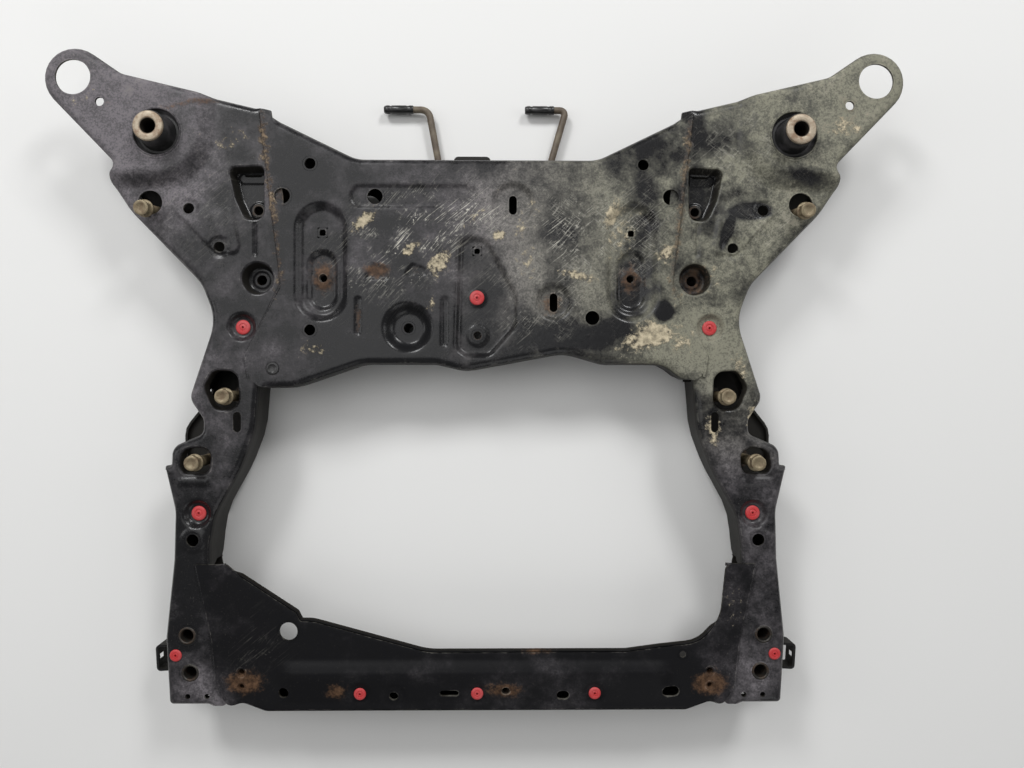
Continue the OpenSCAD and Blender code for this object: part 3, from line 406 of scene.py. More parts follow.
class Pressing:
    """One pressed panel: its outline, where it lies flat on its neighbour, its forms, deep pockets and holes.

    A form is (shape, rise, width of its wall) and a pocket (loop, depth, draft, holes, bosses)."""
    inset = 2.6  # where the flat sheet ends, short of the outline; the rim carries the bend on from there
    lip = 2.4  # width of the finer grid round a hole
    pocket_lip = 3.0  # gap between the flat sheet and a pocket's wall
    lap_ease = 12.0  # length over which a lap becomes a bent edge
    wear_reach = 2.2  # how far the wear of an edge reaches
    line_step = 1.5
    pocket_step = 1.2

    def __init__(self, corners, laps, level, forms, holes, depth, bend, cell, pockets=(), openings=()):
        self.loop = even(rounded(corners), self.line_step)
        self.edge = outline(corners)
        self.laps, self.level, self.forms, self.holes = laps, level, forms, holes
        self.depth, self.bend, self.cell = depth, bend, cell
        self.pockets, self.openings = pockets, openings

    def lap(self, p):
        """1 where the panel lies flat on its neighbour, 0 where its edge turns down, eased between them."""
        return np.max([soft(0.5 - lap(p) / self.lap_ease) for lap in self.laps], axis=0)

    def field(self, p):
        """Distance outside the flat sheet: its outline drawn in by the start of the bend."""
        return self.edge(p) + self.inset * (1.0 - self.lap(p))

    def free(self, p, lip=0.0):
        """Distance outside the sheet, less every hole grown by a lip and every pocket."""
        d = self.field(p)
        for hole in self.holes:
            d = np.maximum(d, lip - hole(p))
        for loop, *_ in self.pockets:
            d = np.maximum(d, self.pocket_lip - to_loop(p, loop))
        return d

    def lips(self):
        """A narrow, finer grid round each hole, for a crisp edge; it just overlaps the sheet's own grid."""
        overlap, margin, finer = 0.25, 3.5, 0.45 * self.cell
        for hole in self.holes:
            low, high = hole.box
            yield sheet_grid(
                lambda p: np.maximum(np.maximum(hole(p) - self.lip - overlap, -hole(p)), self.field(p)),
                self.height, low - margin, high + margin, finer)

    def height(self, p):
        """Level, plus each form's rise eased over its wall, less the drop of the bend: its radius less
        the root of the radius squared less the square of how far the point is into the bend."""
        z = self.level(p)
        for shape, rise, wall in self.forms:
            z = z + (rise(p) if callable(rise) else rise) * soft(-shape(p) / wall)
        into = np.clip(self.bend + self.edge(p), 0.0, self.bend - 0.05)
        return z - (self.bend - np.sqrt(self.bend ** 2 - into ** 2)) * (1.0 - self.lap(p))

    def rim(self):
        """The outer part of the bend and the flange, carried round the outline, open at the arms' mouths."""
        n = len(self.loop)
        flat = 1.0 - self.lap(self.loop)
        turn = np.radians(np.linspace(44.0, 90.0, 6))
        share = np.array([0.02, 0.3, 0.6, 0.9, 1.0])[:, None]
        inset = np.r_[self.bend * (1.0 - np.sin(turn)), np.zeros(len(share))]
        depth = self.depth(self.loop)
        curl = np.repeat(self.bend * (1.0 - np.cos(turn))[:, None] + 0.02, n, axis=1)
        fall = np.vstack([curl, self.bend + (depth - self.bend) * share])
        rows = [np.column_stack([offset(self.loop, i * flat), self.level(self.loop) - f * flat])
                for i, f in zip(inset, fall)]
        faces = grid_faces(len(rows), n)
        shut = np.tile(flat < 0.06, len(rows))
        mouth = np.zeros(n, bool)
        for opening in self.openings:
            mouth = mouth | (opening(self.loop) < 0.0)
        cutout = np.concatenate([mouth & (f > self.bend + 1.0) for f in fall])
        return np.vstack(rows), [faces[~(shut[faces].any(1) | cutout[faces].any(1))]]

    def pocket(self, loop, depth, draft, holes=None, bosses=()):
        """A deep form: a lip, a drafted wall and a rounded foot carried round its outline, and a floor
        grid with its bosses; without holes it is a collar, a wall that ends straight."""
        steps = [[-3.2, 0.0], [-1.7, 0.35], [-0.7, 1.1], [0.0, 3.0]]
        if holes:
            steps += [[draft, depth - 3.0], [draft + 0.9, depth - 0.9], [draft + 3.0, depth]]
        else:
            steps += [[draft, depth]]
        line = even(loop, self.pocket_step)
        z = self.height(line)
        wall = np.vstack([np.column_stack([offset(line, inset), z - fall]) for inset, fall in steps])
        parts = [(wall, [grid_faces(len(steps), len(line), flip=True)])]

        def outside(p):
            """Distance outside the floor: its outline drawn in by the foot, less the holes."""
            d = to_loop(p, loop) + draft + 2.9
            for hole in holes:
                d = np.maximum(d, -hole(p))
            return d

        def bottom(p):
            """Height of the floor, with each boss eased over its wall."""
            raised = sum(rise * soft(-shape(p) / wide) for shape, rise, wide in bosses)
            return self.level(p) - depth + raised

        if holes:
            parts.append(sheet_grid(outside, bottom, loop.min(0), loop.max(0), self.pocket_step))
        return parts

    def build(self):
        """All parts of the pressing as points and faces, with the nearness of each point to an edge."""
        low, high = self.loop.min(0) - 2.0, self.loop.max(0) + 2.0
        parts = [sheet_grid(lambda p: self.free(p, self.lip), self.height, low, high, self.cell), self.rim()]
        parts += self.lips()
        for row in self.pockets:
            parts += self.pocket(*row)
        points, faces = gather(parts)
        return points, faces, np.exp(-np.abs(self.free(points[:, :2])) / self.wear_reach)


# Shapes of the panels

def ear_arc():
    """Corners round the outrigger's eye."""
    turn = np.radians(np.arange(-42, 127, 12))
    return [[EAR[0] + EAR_RADIUS * np.cos(t), EAR[1] + EAR_RADIUS * np.sin(t), 0.0] for t in turn]


# Corners of the outlines and forms: [x, y, radius]
SIDE_CORNERS = [
    [262, 344, 0], [247, 237, 0], [239, 112, 25], [272, 42, 40], [278, -13, 60], [282, -63, 80],
    [300, -111, 120], [333, -171, 60], [339, -208, 60], [339, -233, 30], [316, -293, 40],
    [316, -412, 7], [391, -412, 6], [396, -328, 60], [386, -228, 80], [384.5, -165, 60], [398, -108, 2],
    [389.5, -107, 2], [388.5, -84, 16], [349, -67, 10], [349, -49, 12], [367, -22, 18], [334, 79, 60],
    [352, 125, 60], [441, 216, 100], [468, 256.6, 18], [456, 274.6, 10], *ear_arc(), [449, 388, 30],
    [359, 366.8, 0], [330, 360, 0]]
REAR_CORNERS = [
    [-275, 342, 0], [-248, 120, 14], [-296, 28, 30], [-282, -8.5, 24], [-232, -8.5, 80],
    [-145, 21.5, 60], [-52, 21.5, 40], [-15, 12.5, 60], [112, 36, 60], [162, 21.8, 50], [238, 21.8, 40],
    [262, 3, 18], [284, 1, 22], [296, 28, 30], [248, 120, 14], [275, 342, 0], [154, 283.5, 50],
    [-154, 283.5, 50]]
FRONT_CORNERS = [
    [-355.5, -232, 0], [-335, -327, 60], [-329, -388, 40], [-315, -412, 12], [-296, -408, 20],
    [-267, -419, 20], [267, -419, 20], [298, -408, 20], [315, -412, 12], [329, -388, 40],
    [335, -327, 60], [355.5, -232, 0], [318, -232, 10], [311, -300, 40], [283, -331, 40],
    [235, -336, 30], [190, -342, 40], [-62, -342, 90], [-208, -302, 60], [-222, -302, 2],
    [-227, -292, 2], [-311, -237, 5], [-316, -232.5, 3]]
ARM_OPENINGS = [
    [[304, 12.7, 14], [302, -36.3, 16], [334, -36.3, 16], [347, -7.3, 12], [335, 13.7, 12]],
    [[337.8, -90.6, 12], [339.8, -117.6, 10], [376.8, -117.6, 10], [374.8, -86.6, 14], [350.8, -84.6, 14]]]
STABILISER_POCKET = [
    [271.5, 273.2, 6], [271.5, 206.2, 11], [294.5, 206.2, 12], [306.5, 232.2, 20], [315.5, 271.2, 7]]
ARM_PAD = [
    [311, 236, 10], [299, 172, 10], [303, 160, 10], [333, 160, 12], [384, 214, 12], [372, 238, 12]]
EGG = [
    [-26, 178, 12], [-30, 40, 16], [-16, 29, 16], [18, 29, 18], [54, 70, 30], [54, 112, 40],
    [14, 184, 14], [-10, 187, 12]]
LEG_RIB = [[338, -121, 4], [339, -134, 4], [378, -134, 4], [380, -121, 4]]

# Corners of the laps on a neighbour and of the arms' mouths: [x, y]
REAR_LAP = [[268, -40], [268, 18], [232, 118], [256, 330], [258, FAR], [400, FAR], [400, -40]]
FRONT_LAP = [[303, -200], [303, -FAR], [500, -FAR], [500, -200]]
SIDE_LAPS = [
    [[200, 360], [200, 0], [293, 0], [291, 40], [262, 112], [266, 237], [279, 330], [279, 360]],
    [[296, -236], [296, -FAR], [337, -FAR], [337, -296], [352, -236]]]
ARM_MOUTHS = [
    [[338, 108], [372, 96], [500, 236], [478, 254], [448, 256], [392, 196]],
    [[336, -34], [356, -10], [410, -24], [410, -118], [384, -118], [372, -100], [336, -80]]]

# Holes of the sheets that take no fitting
PAD_HOLES = ((327.1, 170.2), (366.2, 219.5))
LEG_HOLE = (359.8, -201.9)
REAR_SLOTS = ((45.7, 225.4), (97.8, 100.9))
DRAIN = (-104.7, -399.0)

# Grid of the rear and front panels, against that of the side panels
WIDE_CELL = 1.1


def side_level(p):
    """Side panel: flat, rising in an eased slope to the plateau round the bush."""
    reach, slope = 71.0, 25.0
    q = np.stack([BUSH[0] - p[:, 0], BUSH[1] - p[:, 1]], axis=1)
    off = np.where((q > 0).all(1), np.linalg.norm(q, axis=1), q.max(1))
    return SIDE_Z + PLATEAU_RISE * soft((reach - off) / slope)


def front_level(p):
    """Front panel: flat, with a ridge that climbs to a crease and falls again to the front edge."""
    foot, crease, back, rise, end = -408.0, -368.0, -354.0, 8.0, 255.0
    ridge = np.interp(p[:, 1], [foot, crease, back], [0.0, rise, 0.0])
    rounding = 1.2 * np.exp(-((p[:, 1] - crease) / 5.0) ** 2)
    return PANEL_Z + (ridge - rounding) * soft((end - np.abs(p[:, 0])) / 25.0)


def rear_level(p):
    """Rear panel: flat."""
    return np.full(len(p), PANEL_Z)


def side_pressing(sheet):
    """The right side panel; its flange gets shallow round the ear."""
    flange, ear_flange, ear_reach, ear_ease = sheet.flange / MM, 12.0, 85.0, 35.0

    def depth(p):
        """Depth of the flange, eased towards the ear."""
        near = soft((ear_reach - np.hypot(p[:, 0] - EAR[0], p[:, 1] - EAR[1])) / ear_ease)
        return flange + (ear_flange - flange) * near

    def pad_rise(p):
        """Rise of the arm pad, which fades out under the plateau's slope."""
        rise, end, fade = 2.5, 234.0, 36.0
        return rise * soft((end - p[:, 1]) / fade)

    # Pockets of the stabiliser nut and the rack bolt, and the collars of the arm openings
    pocket_depth, draft, rack_width = 20.0, 2.0, 27.6
    rack_corners = [[RACK_BOLT[0] + rack_width * c, RACK_BOLT[1] + rack_width * s, 19.5]
                    for c, s in ((1, 0), (0, 1), (-1, 0), (0, -1))]
    drain = slot(281, 266.3, 299, 266.3, 2.4)
    drain_boss = slot(279, 262.0, 302, 262.0, 8.0)
    pockets = [
        (rounded(STABILISER_POCKET), pocket_depth, draft, [disc(*STABILISER_NUT, 6.6), drain],
         [(disc(*STABILISER_NUT, 12.5), 2.0, 2.5), (drain_boss, 1.5, 3.0)]),
        (even(rounded(rack_corners), 1.0), pocket_depth, draft, [disc(*RACK_BOLT, 6.6)],
         [(disc(*RACK_BOLT, 12.0), 1.2, 2.5)])]
    pockets += [(rounded(mouth), 17.0, 0.4) for mouth in ARM_OPENINGS]
    # Arm pad, bead beside the seam, dishes of the pad's holes, boss and rib of the leg, dishes of the plugs
    forms = [
        (outline(ARM_PAD), pad_rise, 5.0), (slot(282, 200, 282, 162, 4.0), -3.0, 4.5),
        (disc(*PAD_HOLES[0], 15.0), -2.0, 4.0), (disc(*PAD_HOLES[1], 14.0), -1.5, 4.0),
        (disc(*LEG_HOLE, 17.0), 1.6, 3.5), (outline(LEG_RIB), 2.2, 4.0)]
    forms += [(disc(x, y, 19.5), -PLUG_DISH, 8.0) for x, y in SIDE_PLUGS]
    # Bush and ear, arm bolt and pad, plugs, leg and front mounts, small corner holes and the leg's slot
    holes = [disc(*BUSH, 31.15), disc(*EAR, bore("right_ear_loop")), disc(472.5, 350, 5.6)]
    holes += [disc(*ARM_REAR_BOLT, 15.3), disc(*PAD_HOLES[1], 7.0), disc(*PAD_HOLES[0], 7.0)]
    holes += [disc(x, y, PLUG_HOLE) for x, y in (*SIDE_PLUGS, CORNER_PLUG)]
    holes += [disc(*LEG_HOLE, 7.8), *(disc(x, y, 11.15) for x, y in FRONT_MOUNTS)]
    holes += [disc(366, -400, 3.4), disc(341.7, -400, 3.4), slot(304.4, -44, 304.4, -60, 5.0)]
    return Pressing(
        SIDE_CORNERS, [zone(lap) for lap in SIDE_LAPS], side_level, forms, holes, depth, sheet.bend / MM,
        sheet.cell / MM, pockets, [zone(mouth) for mouth in ARM_MOUTHS])


def rear_pressing(sheet):
    """The rear panel, whose flange ends level with the side panels'."""
    depth = sheet.flange / MM + PANEL_Z - SIDE_Z
    # Long recess, egg, two D-shaped recesses, two beads, dishes of the torque rod and the slots, raised seats
    forms = [
        (slot(-147, 235, -14, 235, 17), -2.4, 7.0), (outline(EGG), -6.5, 8.5),
        (outline([[-146, 128, 5], [-110, 128, 5], [-112, 146, 10], [-132, 152, 6]]), -2.6, 4.0),
        (outline([[-96, 133, 4], [-62, 133, 4], [-64, 146, 8], [-84, 152, 6]]), -1.6, 4.0),
        (slot(-151, 62, -151, 104, 5), -2.4, 4.5), (slot(-41, 48, -41, 103, 6), -2.4, 5.0),
        (disc(*TORQUE_ROD, 34), -11.0, 16.5), (disc(*REAR_SLOTS[0], 30), -5.5, 9.0),
        (disc(*REAR_SLOTS[1], 25), -5.5, 8.5), (disc(*EGG_NUT, 15), 1.6, 3.5),
        (disc(*EGG_PLUG, 13), 1.2, 3.5)]
    holes = [disc(-129.9, 235.3, 9.8), disc(-211.8, 65.1, 7), disc(147, 81, 9), square(0.0, 166.6, 7)]
    holes += [disc(*TORQUE_ROD, 6.4), disc(*EGG_PLUG, PLUG_HOLE)]
    holes += [disc(*EGG_NUT, NUT_HOLE), disc(*BLIND_PLUG, 6.0)]
    holes += [slot(x, y - 7.0, x, y + 7.0, 5) for x, y in REAR_SLOTS]
    # On each side the stepped dish of a stay, the raised seat of its nut, and the holes round it
    for s in (-1, 1):
        x, y = s * STAY_NUT[0], STAY_NUT[1]
        forms += [(slot(x, 109.7, x, 193.7, 36), -8.0, 13.0), (slot(x, 110, x, 148, 21), -5.0, 7.5),
                  (disc(x, y, 13), 2.0, 3.0)]
        holes += [disc(x, y, NUT_HOLE), square(x, 190, 8), disc(s * 247, 235, 10), disc(s * 211.8, 276.2, 7)]
    return Pressing(
        REAR_CORNERS, [zone(REAR_LAP), zone(swap(REAR_LAP))], rear_level, forms, holes,
        lambda p: np.full(len(p), depth), sheet.bend / MM, WIDE_CELL * sheet.cell / MM)


def front_pressing(sheet):
    """The front crossmember's panel; its inner edge has only a narrow flange."""
    flange, inner_flange, turn_in, ease = sheet.front_flange / MM, 9.0, -362.0, 20.0

    def depth(p):
        """Depth of the flange: full at the front edge, narrow behind the crease."""
        return inner_flange + (flange - inner_flange) * soft((turn_in - p[:, 1]) / ease)

    # Seats of the plugs, raised seat of the weld nut, dish of the drain
    forms = [(disc(x, y, 15.0), -1.6, 5.0) for x, y in FRONT_PLUGS]
    forms += [(outline([[16, -380, 3], [16, -403, 3], [60, -403, 3], [60, -380, 3]]), 1.0, 3.0),
              (disc(*DRAIN, 17.0), -1.0, 4.0)]
    holes = [disc(x, y, PLUG_HOLE) for x, y in FRONT_PLUGS]
    holes += [disc(*FRONT_NUT, NUT_HOLE), disc(*DRAIN, 5.6), slot(-42.3, -395, -26.3, -395, 4)]
    holes += [slot(107.7, -398, 111.7, -398, 6), disc(-243.8, -394.2, 6.5)]
    holes += [slot(242.5, -394, 251.5, -394, 6.5), disc(-238, -316.8, 11.4), disc(262.8, -347.3, 4)]
    # Four small holes in the corners, with collars
    turn = np.radians(np.arange(0, 360, 15))
    blind = [np.column_stack([s * 297.7 + r * np.cos(turn), y + r * np.sin(turn)])
             for s in (-1, 1) for y, r in ((-368.9, 3.5), (-387.2, 3.0))]
    return Pressing(
        FRONT_CORNERS, [zone(FRONT_LAP), zone(swap(FRONT_LAP))], front_level, forms, holes, depth,
        sheet.front_bend / MM, WIDE_CELL * sheet.cell / MM, [(loop, 26.0, 0.2) for loop in blind])


# Wear, and painted light and shade

# Patches of wear and of painted light and shade: [x, y, half length, half width, turn in degrees, strength]
# Dust film, with painted light: the rows at x ±290, y 240 and x ±279, y 131 lighten the floors of the shaded
# pockets
DUST_AND_LIGHT = [
    [-470, 350, 70, 50, 30, 0.16], [470, 350, 70, 50, -30, 0.14], [165, 205, 30, 56, 0, 0.36],
    [-95, 180, 70, 34, 30, 0.06], [150, 110, 60, 40, 0, 0.26], [66, 160, 26, 60, 10, 0.34],
    [50, 228, 60, 44, 0, 0.32], [225, 60, 45, 40, 0, 0.3], [-235, 45, 50, 25, 0, 0.12],
    [300, 70, 40, 90, 0, 0.34], [385, 195, 60, 34, 42, 0.4], [315, -60, 40, 60, 0, 0.12],
    [-272, 240, 14, 70, 4, 0.3], [-290, 240, 26, 40, 0, 0.3], [290, 240, 26, 40, 0, 0.12],
    [-279, 131, 20, 20, 0, 0.3], [279, 131, 20, 20, 0, 0.2], [-340, 290, 16, 60, 12, 0.2],
    [240, 190, 16, 90, 5, 0.3], [-318, 180, 40, 60, 0, 0.1], [-352, -385, 36, 24, 0, 0.22],
    [352, -385, 36, 24, 0, 0.2]]
# Bare coat where the dust film is gone, and painted shade: the rows at x ±408 darken the slope of the plateau
# round each bush
CLEAN_AND_SHADE = [
    [349, 218, 20, 8, 2, 2.4], [320, 193, 19, 5, 70, 2.4], [238, 90, 10, 11, 0, 2.4],
    [112, 190, 50, 30, 8, 0.55], [8, 105, 34, 70, 0, 0.62], [-150, 60, 80, 45, 0, 0.25],
    [-90, 68, 42, 38, 0, 0.8], [-408, 260, 58, 18, 8, 0.4], [408, 262, 50, 16, -10, 0.4],
    [120, 55, 90, 22, 10, 0.55], [210, 245, 30, 40, 0, 0.35], [197, 112, 20, 32, 0, 0.7],
    [90, 215, 30, 40, 0, 0.4], [60, 70, 16, 40, 30, 0.5], [330, 240, 30, 8, 10, 0.3]]
MUD = [
    [-143, 204, 24, 10, 38, 0.9], [-85, 168, 28, 10, 40, 0.66], [-48, 152, 26, 15, 50, 0.74],
    [-5, 208, 26, 10, 45, 0.55], [29, 187, 9, 7, 0, 0.9], [171, 211, 22, 11, 60, 0.95],
    [242, 164, 17, 13, 40, 0.95], [218, 58, 36, 20, 14, 1.25], [126, 135, 36, 7, -14, 0.8],
    [180, 190, 40, 70, 0, 0.46], [66, 165, 26, 56, 15, 0.5], [-206, 43, 22, 14, 0, 0.62],
    [300, 108, 26, 50, 0, 0.5], [303, -57, 12, 26, 0, 0.95], [352, -46, 9, 26, -15, 0.7],
    [335, 20, 12, 24, 20, 0.6], [467, 321, 40, 46, 0, 0.42], [-491, 352, 26, 18, 30, 0.5],
    [-320, 302, 36, 22, 20, 0.4], [100, 60, 60, 14, 15, 0.46], [-60, 96, 14, 12, 0, 0.56],
    [330, -300, 30, 50, 10, 0.36], [-346, 290, 12, 60, 12, 0.4], [60, 228, 44, 36, 0, 0.4],
    [255, 60, 22, 46, 0, 0.5]]
RUST = [
    [-197.5, 132, 17, 22, 0, 0.85], [197.5, 132, 19, 22, 0, 0.9], [97.8, 101, 22, 22, 0, 0.62],
    [-127, 140, 20, 12, 0, 0.8], [-80, 141, 18, 9, 0, 0.5], [-295, -382, 24, 16, 0, 1.2],
    [298, -384, 26, 17, 0, 1.1], [38, -391, 27, 12, 0, 0.8], [-178, -392, 16, 13, 0, 0.8],
    [78, -343, 30, 5, 0, 0.6], [278.8, 130, 22, 22, 0, 0.7], [-278.8, 130, 20, 20, 0, 0.3],
    [414, 226, 24, 24, 0, 0.4], [-414, 226, 24, 24, 0, 0.45], [470, 349, 26, 22, 0, 0.45],
    [-470, 349, 24, 18, 0, 0.5], [-151, 83, 6, 26, 0, 0.55], [-246, 235, 14, 14, 0, 0.5],
    [-350, 352, 60, 6, 13, 0.6], [-197, 160, 34, 70, 0, 0.3]]
SCRATCH = [
    [-88, 180, 78, 44, 28, 1.2], [-9, 213, 44, 28, 0, 1.0], [120, 185, 80, 50, 0, 0.7],
    [190, 190, 46, 60, 0, 0.5], [385, 190, 50, 40, 0, 0.3], [-350, 230, 70, 90, 0, 0.1],
    [80, 110, 60, 60, 0, 0.5], [330, 300, 60, 60, 0, 0.3], [-278, -340, 30, 40, 0, 0.08]]

# Lines of the welds on the right-hand side: [x, y]
SEAM = [[275, 342], [248, 124], [294, 32], [290, 6]]
FRONT_SEAM = [[329, -388], [335, -327], [355.5, -236], [318, -233]]


def patches(p, rows):
    """Soft ellipses: the largest of strength times exp of minus the squared distance in half sizes."""
    x, y, a, b, turn, strength = np.asarray(rows, float).T
    c, s = np.cos(np.radians(turn)), np.sin(np.radians(turn))
    dx, dy = p[:, :1] - x, p[:, 1:2] - y
    return (strength * np.exp(-((c * dx + s * dy) / a) ** 2 - ((c * dy - s * dx) / b) ** 2)).max(1)


def to_line(p, line):
    """Distance to an open line: the nearest of its sides."""
    line = np.asarray(line, float)
    a, d = line[:-1], np.diff(line, axis=0)
    w = p[:, None, :2] - a
    t = np.clip((w * d).sum(2) / (d * d).sum(1), 0.0, 1.0)
    return np.linalg.norm(w - t[..., None] * d, axis=2).min(1)


def weather(p, edge=None):
    """Wear of points by their place, with painted light and shade: the film rises towards the rear, rust
    keeps to welds and holes, some pocket floors are painted lighter, and deep and low-lying points darker.
    """
    x, y, z = p.T
    both = np.column_stack([np.abs(x), y])
    # Painted shade: points deep under the sheets, the trays between the panels, take the dark shade colour
    deep = 1.0 - soft((z - 42.0) / 20.0)
    # Painted shade: faces lying below the sheets lose their dust film and mud, so they come out dark
    sunk_shade = soft((79.0 - z) / 10.0)
    clean_and_shade = soft(patches(p, CLEAN_AND_SHADE) / 0.8)
    rear = soft((y + 60.0) / 120.0)
    upper = soft((y - 70.0) / 60.0)
    leg = soft((np.abs(x) - 270.0) / 50.0) * (1.0 - rear)
    horn = soft((np.abs(x) - 270.0) / 150.0) * soft((y - 130.0) / 150.0)
    tint = soft((x + 90.0) / 330.0) * soft((y + 150.0) / 190.0)
    film = 0.09 + 0.08 * rear + (0.13 - 0.07 * tint) * leg + 0.36 * horn + 0.13 * tint * rear
    film = np.clip(film + patches(p, DUST_AND_LIGHT), 0.0, 1.0) * (1.0 - clean_and_shade) * (1.0 - 0.8 * sunk_shade)
    along_seam = np.exp(-(to_line(both, SEAM) / 9.0) ** 2)
    along_front_seam = np.exp(-(to_line(both, FRONT_SEAM) / 3.0) ** 2)
    rust = np.max([patches(p, RUST), 0.5 * upper * along_seam, 0.14 * along_front_seam], axis=0)
    mud = np.maximum(patches(p, MUD), (0.15 + 0.3 * upper) * along_seam)
    return {"film": film, "mud": mud * (1.0 - clean_and_shade) * (1.0 - sunk_shade), "rust": rust,
            "scratch": patches(p, SCRATCH) * (1.0 - deep), "tint": tint, "deep": deep,
            "edge": np.zeros(len(p)) if edge is None else edge}


# Finishes

class Finish:
    """One procedural material: noise on the piece's own coordinates and its wear and painted shade, mixed by
    nodes.
    """

    def __init__(self, name, base, roughness, metallic=0.0, specular=0.5):
        self.material = bpy.data.materials.new(name)
        self.material.use_nodes = True
        self.nodes, self.links = self.material.node_tree.nodes, self.material.node_tree.links
        self.shader = self.nodes["Principled BSDF"]
        self.set(self.shader.inputs["Base Color"], base)
        self.set(self.shader.inputs["Roughness"], roughness)
        self.set(self.shader.inputs["Metallic"], metallic)
        self.set(self.shader.inputs["Specular IOR Level"], specular)
        self.place = self.nodes.new("ShaderNodeTexCoord").outputs["Object"]

    def set(self, socket, value):
        """Links another node's output, or writes the value on the socket."""
        if isinstance(value, bpy.types.NodeSocket):
            self.links.new(value, socket)
        elif socket.type == "RGBA":
            socket.default_value = (*value, 1.0)
        else:
            socket.default_value = value

    def noise(self, scale, detail=4.0, rough=0.55, stretch=None, turn=0.0):
        """Noise, drawn out along a direction where stretch gives its fineness along and across."""
        node = self.nodes.new("ShaderNodeTexNoise")
        where = self.place
        if stretch:
            turned = self.nodes.new("ShaderNodeMapping")
            turned.vector_type = "TEXTURE"
            turned.inputs["Rotation"].default_value = (0.0, 0.0, np.radians(turn))
            turned.inputs["Scale"].default_value = (1.0 / stretch[0], 1.0 / stretch[1], 1.0)
            self.links.new(where, turned.inputs["Vector"])
            where = turned.outputs["Vector"]
        self.links.new(where, node.inputs["Vector"])
        node.inputs["Scale"].default_value = scale
        node.inputs["Detail"].default_value = detail
        node.inputs["Roughness"].default_value = rough
        return node.outputs[0]

    def wall(self):
        """1 on upright faces and 0 on flat ones, from the height of the face's normal; it lays painted shade
        on the walls.
        """
        face = self.nodes.new("ShaderNodeNewGeometry")
        split = self.nodes.new("ShaderNodeSeparateXYZ")
        self.links.new(face.outputs["True Normal"], split.inputs[0])
        flat = self.math("ABSOLUTE", split.outputs["Z"], 0.0)
        return self.math("SUBTRACT", 1.0, self.rise(flat, 0.2, 0.7))

    def wear(self, name):
        """A point attribute."""
        node = self.nodes.new("ShaderNodeAttribute")
        node.attribute_name = name
        return node.outputs["Fac"]

    def math(self, kind, a, b, c=0.0):
        """A math node."""
        node = self.nodes.new("ShaderNodeMath")
        node.operation = kind
        for socket, value in zip(node.inputs, (a, b, c)):
            self.set(socket, value)
        return node.outputs[0]

    def times(self, first, *others):
        """The product of several numbers."""
        for value in others:
            first = self.math("MULTIPLY", first, value)
        return first

    def most(self, first, *others):
        """The largest of several numbers."""
        for value in others:
            first = self.math("MAXIMUM", first, value)
        return first

    def mean(self, a, b, share=0.5):
        """A share of one number and the rest of another."""
        return self.math("MULTIPLY_ADD", a, share, self.times(b, 1.0 - share))

    def rise(self, value, low, high):
        """0 at low and 1 at high, eased."""
        node = self.nodes.new("ShaderNodeMapRange")
        node.interpolation_type = "SMOOTHSTEP"
        for name, v in (("Value", value), ("From Min", low), ("From Max", high)):
            self.set(node.inputs[name], v)
        return node.outputs[0]

    def streak(self, stretch, turn, low, high, detail=2.0, rough=0.5):
        """Strokes along a direction, where stretched noise is high."""
        return self.rise(self.noise(1.0, detail, rough, stretch, turn), low, high)

    def layer(self, name, cloud, spread, low, high):
        """A wear attribute broken up by noise and cut to a soft edge; none where the attribute is nought."""
        wear = self.wear(name)
        broken = self.math("MULTIPLY_ADD", self.math("SUBTRACT", cloud, 0.5), spread, wear)
        return self.times(self.rise(broken, low, high), self.rise(wear, 0.0, 0.12))

    def blend(self, factor, a, b):
        """One colour over another."""
        node = self.nodes.new("ShaderNodeMix")
        node.data_type = "RGBA"
        for socket, value in zip((node.inputs[0], node.inputs[6], node.inputs[7]), (factor, a, b)):
            self.set(socket, value)
        return node.outputs[2]

    def level(self, factor, a, b):
        """A number from a to b."""
        return self.math("MULTIPLY_ADD", factor, b - a, a)

    def bump(self, height, depth):
        """Surface relief of that depth in metres."""
        node = self.nodes.new("ShaderNodeBump")
        node.inputs["Distance"].default_value = depth
        self.links.new(height, node.inputs["Height"])
        self.links.new(node.outputs["Normal"], self.shader.inputs["Normal"])


def scaled(tone, share):
    """A colour made lighter or darker."""
    return tuple(min(1.0, share * v) for v in tone)


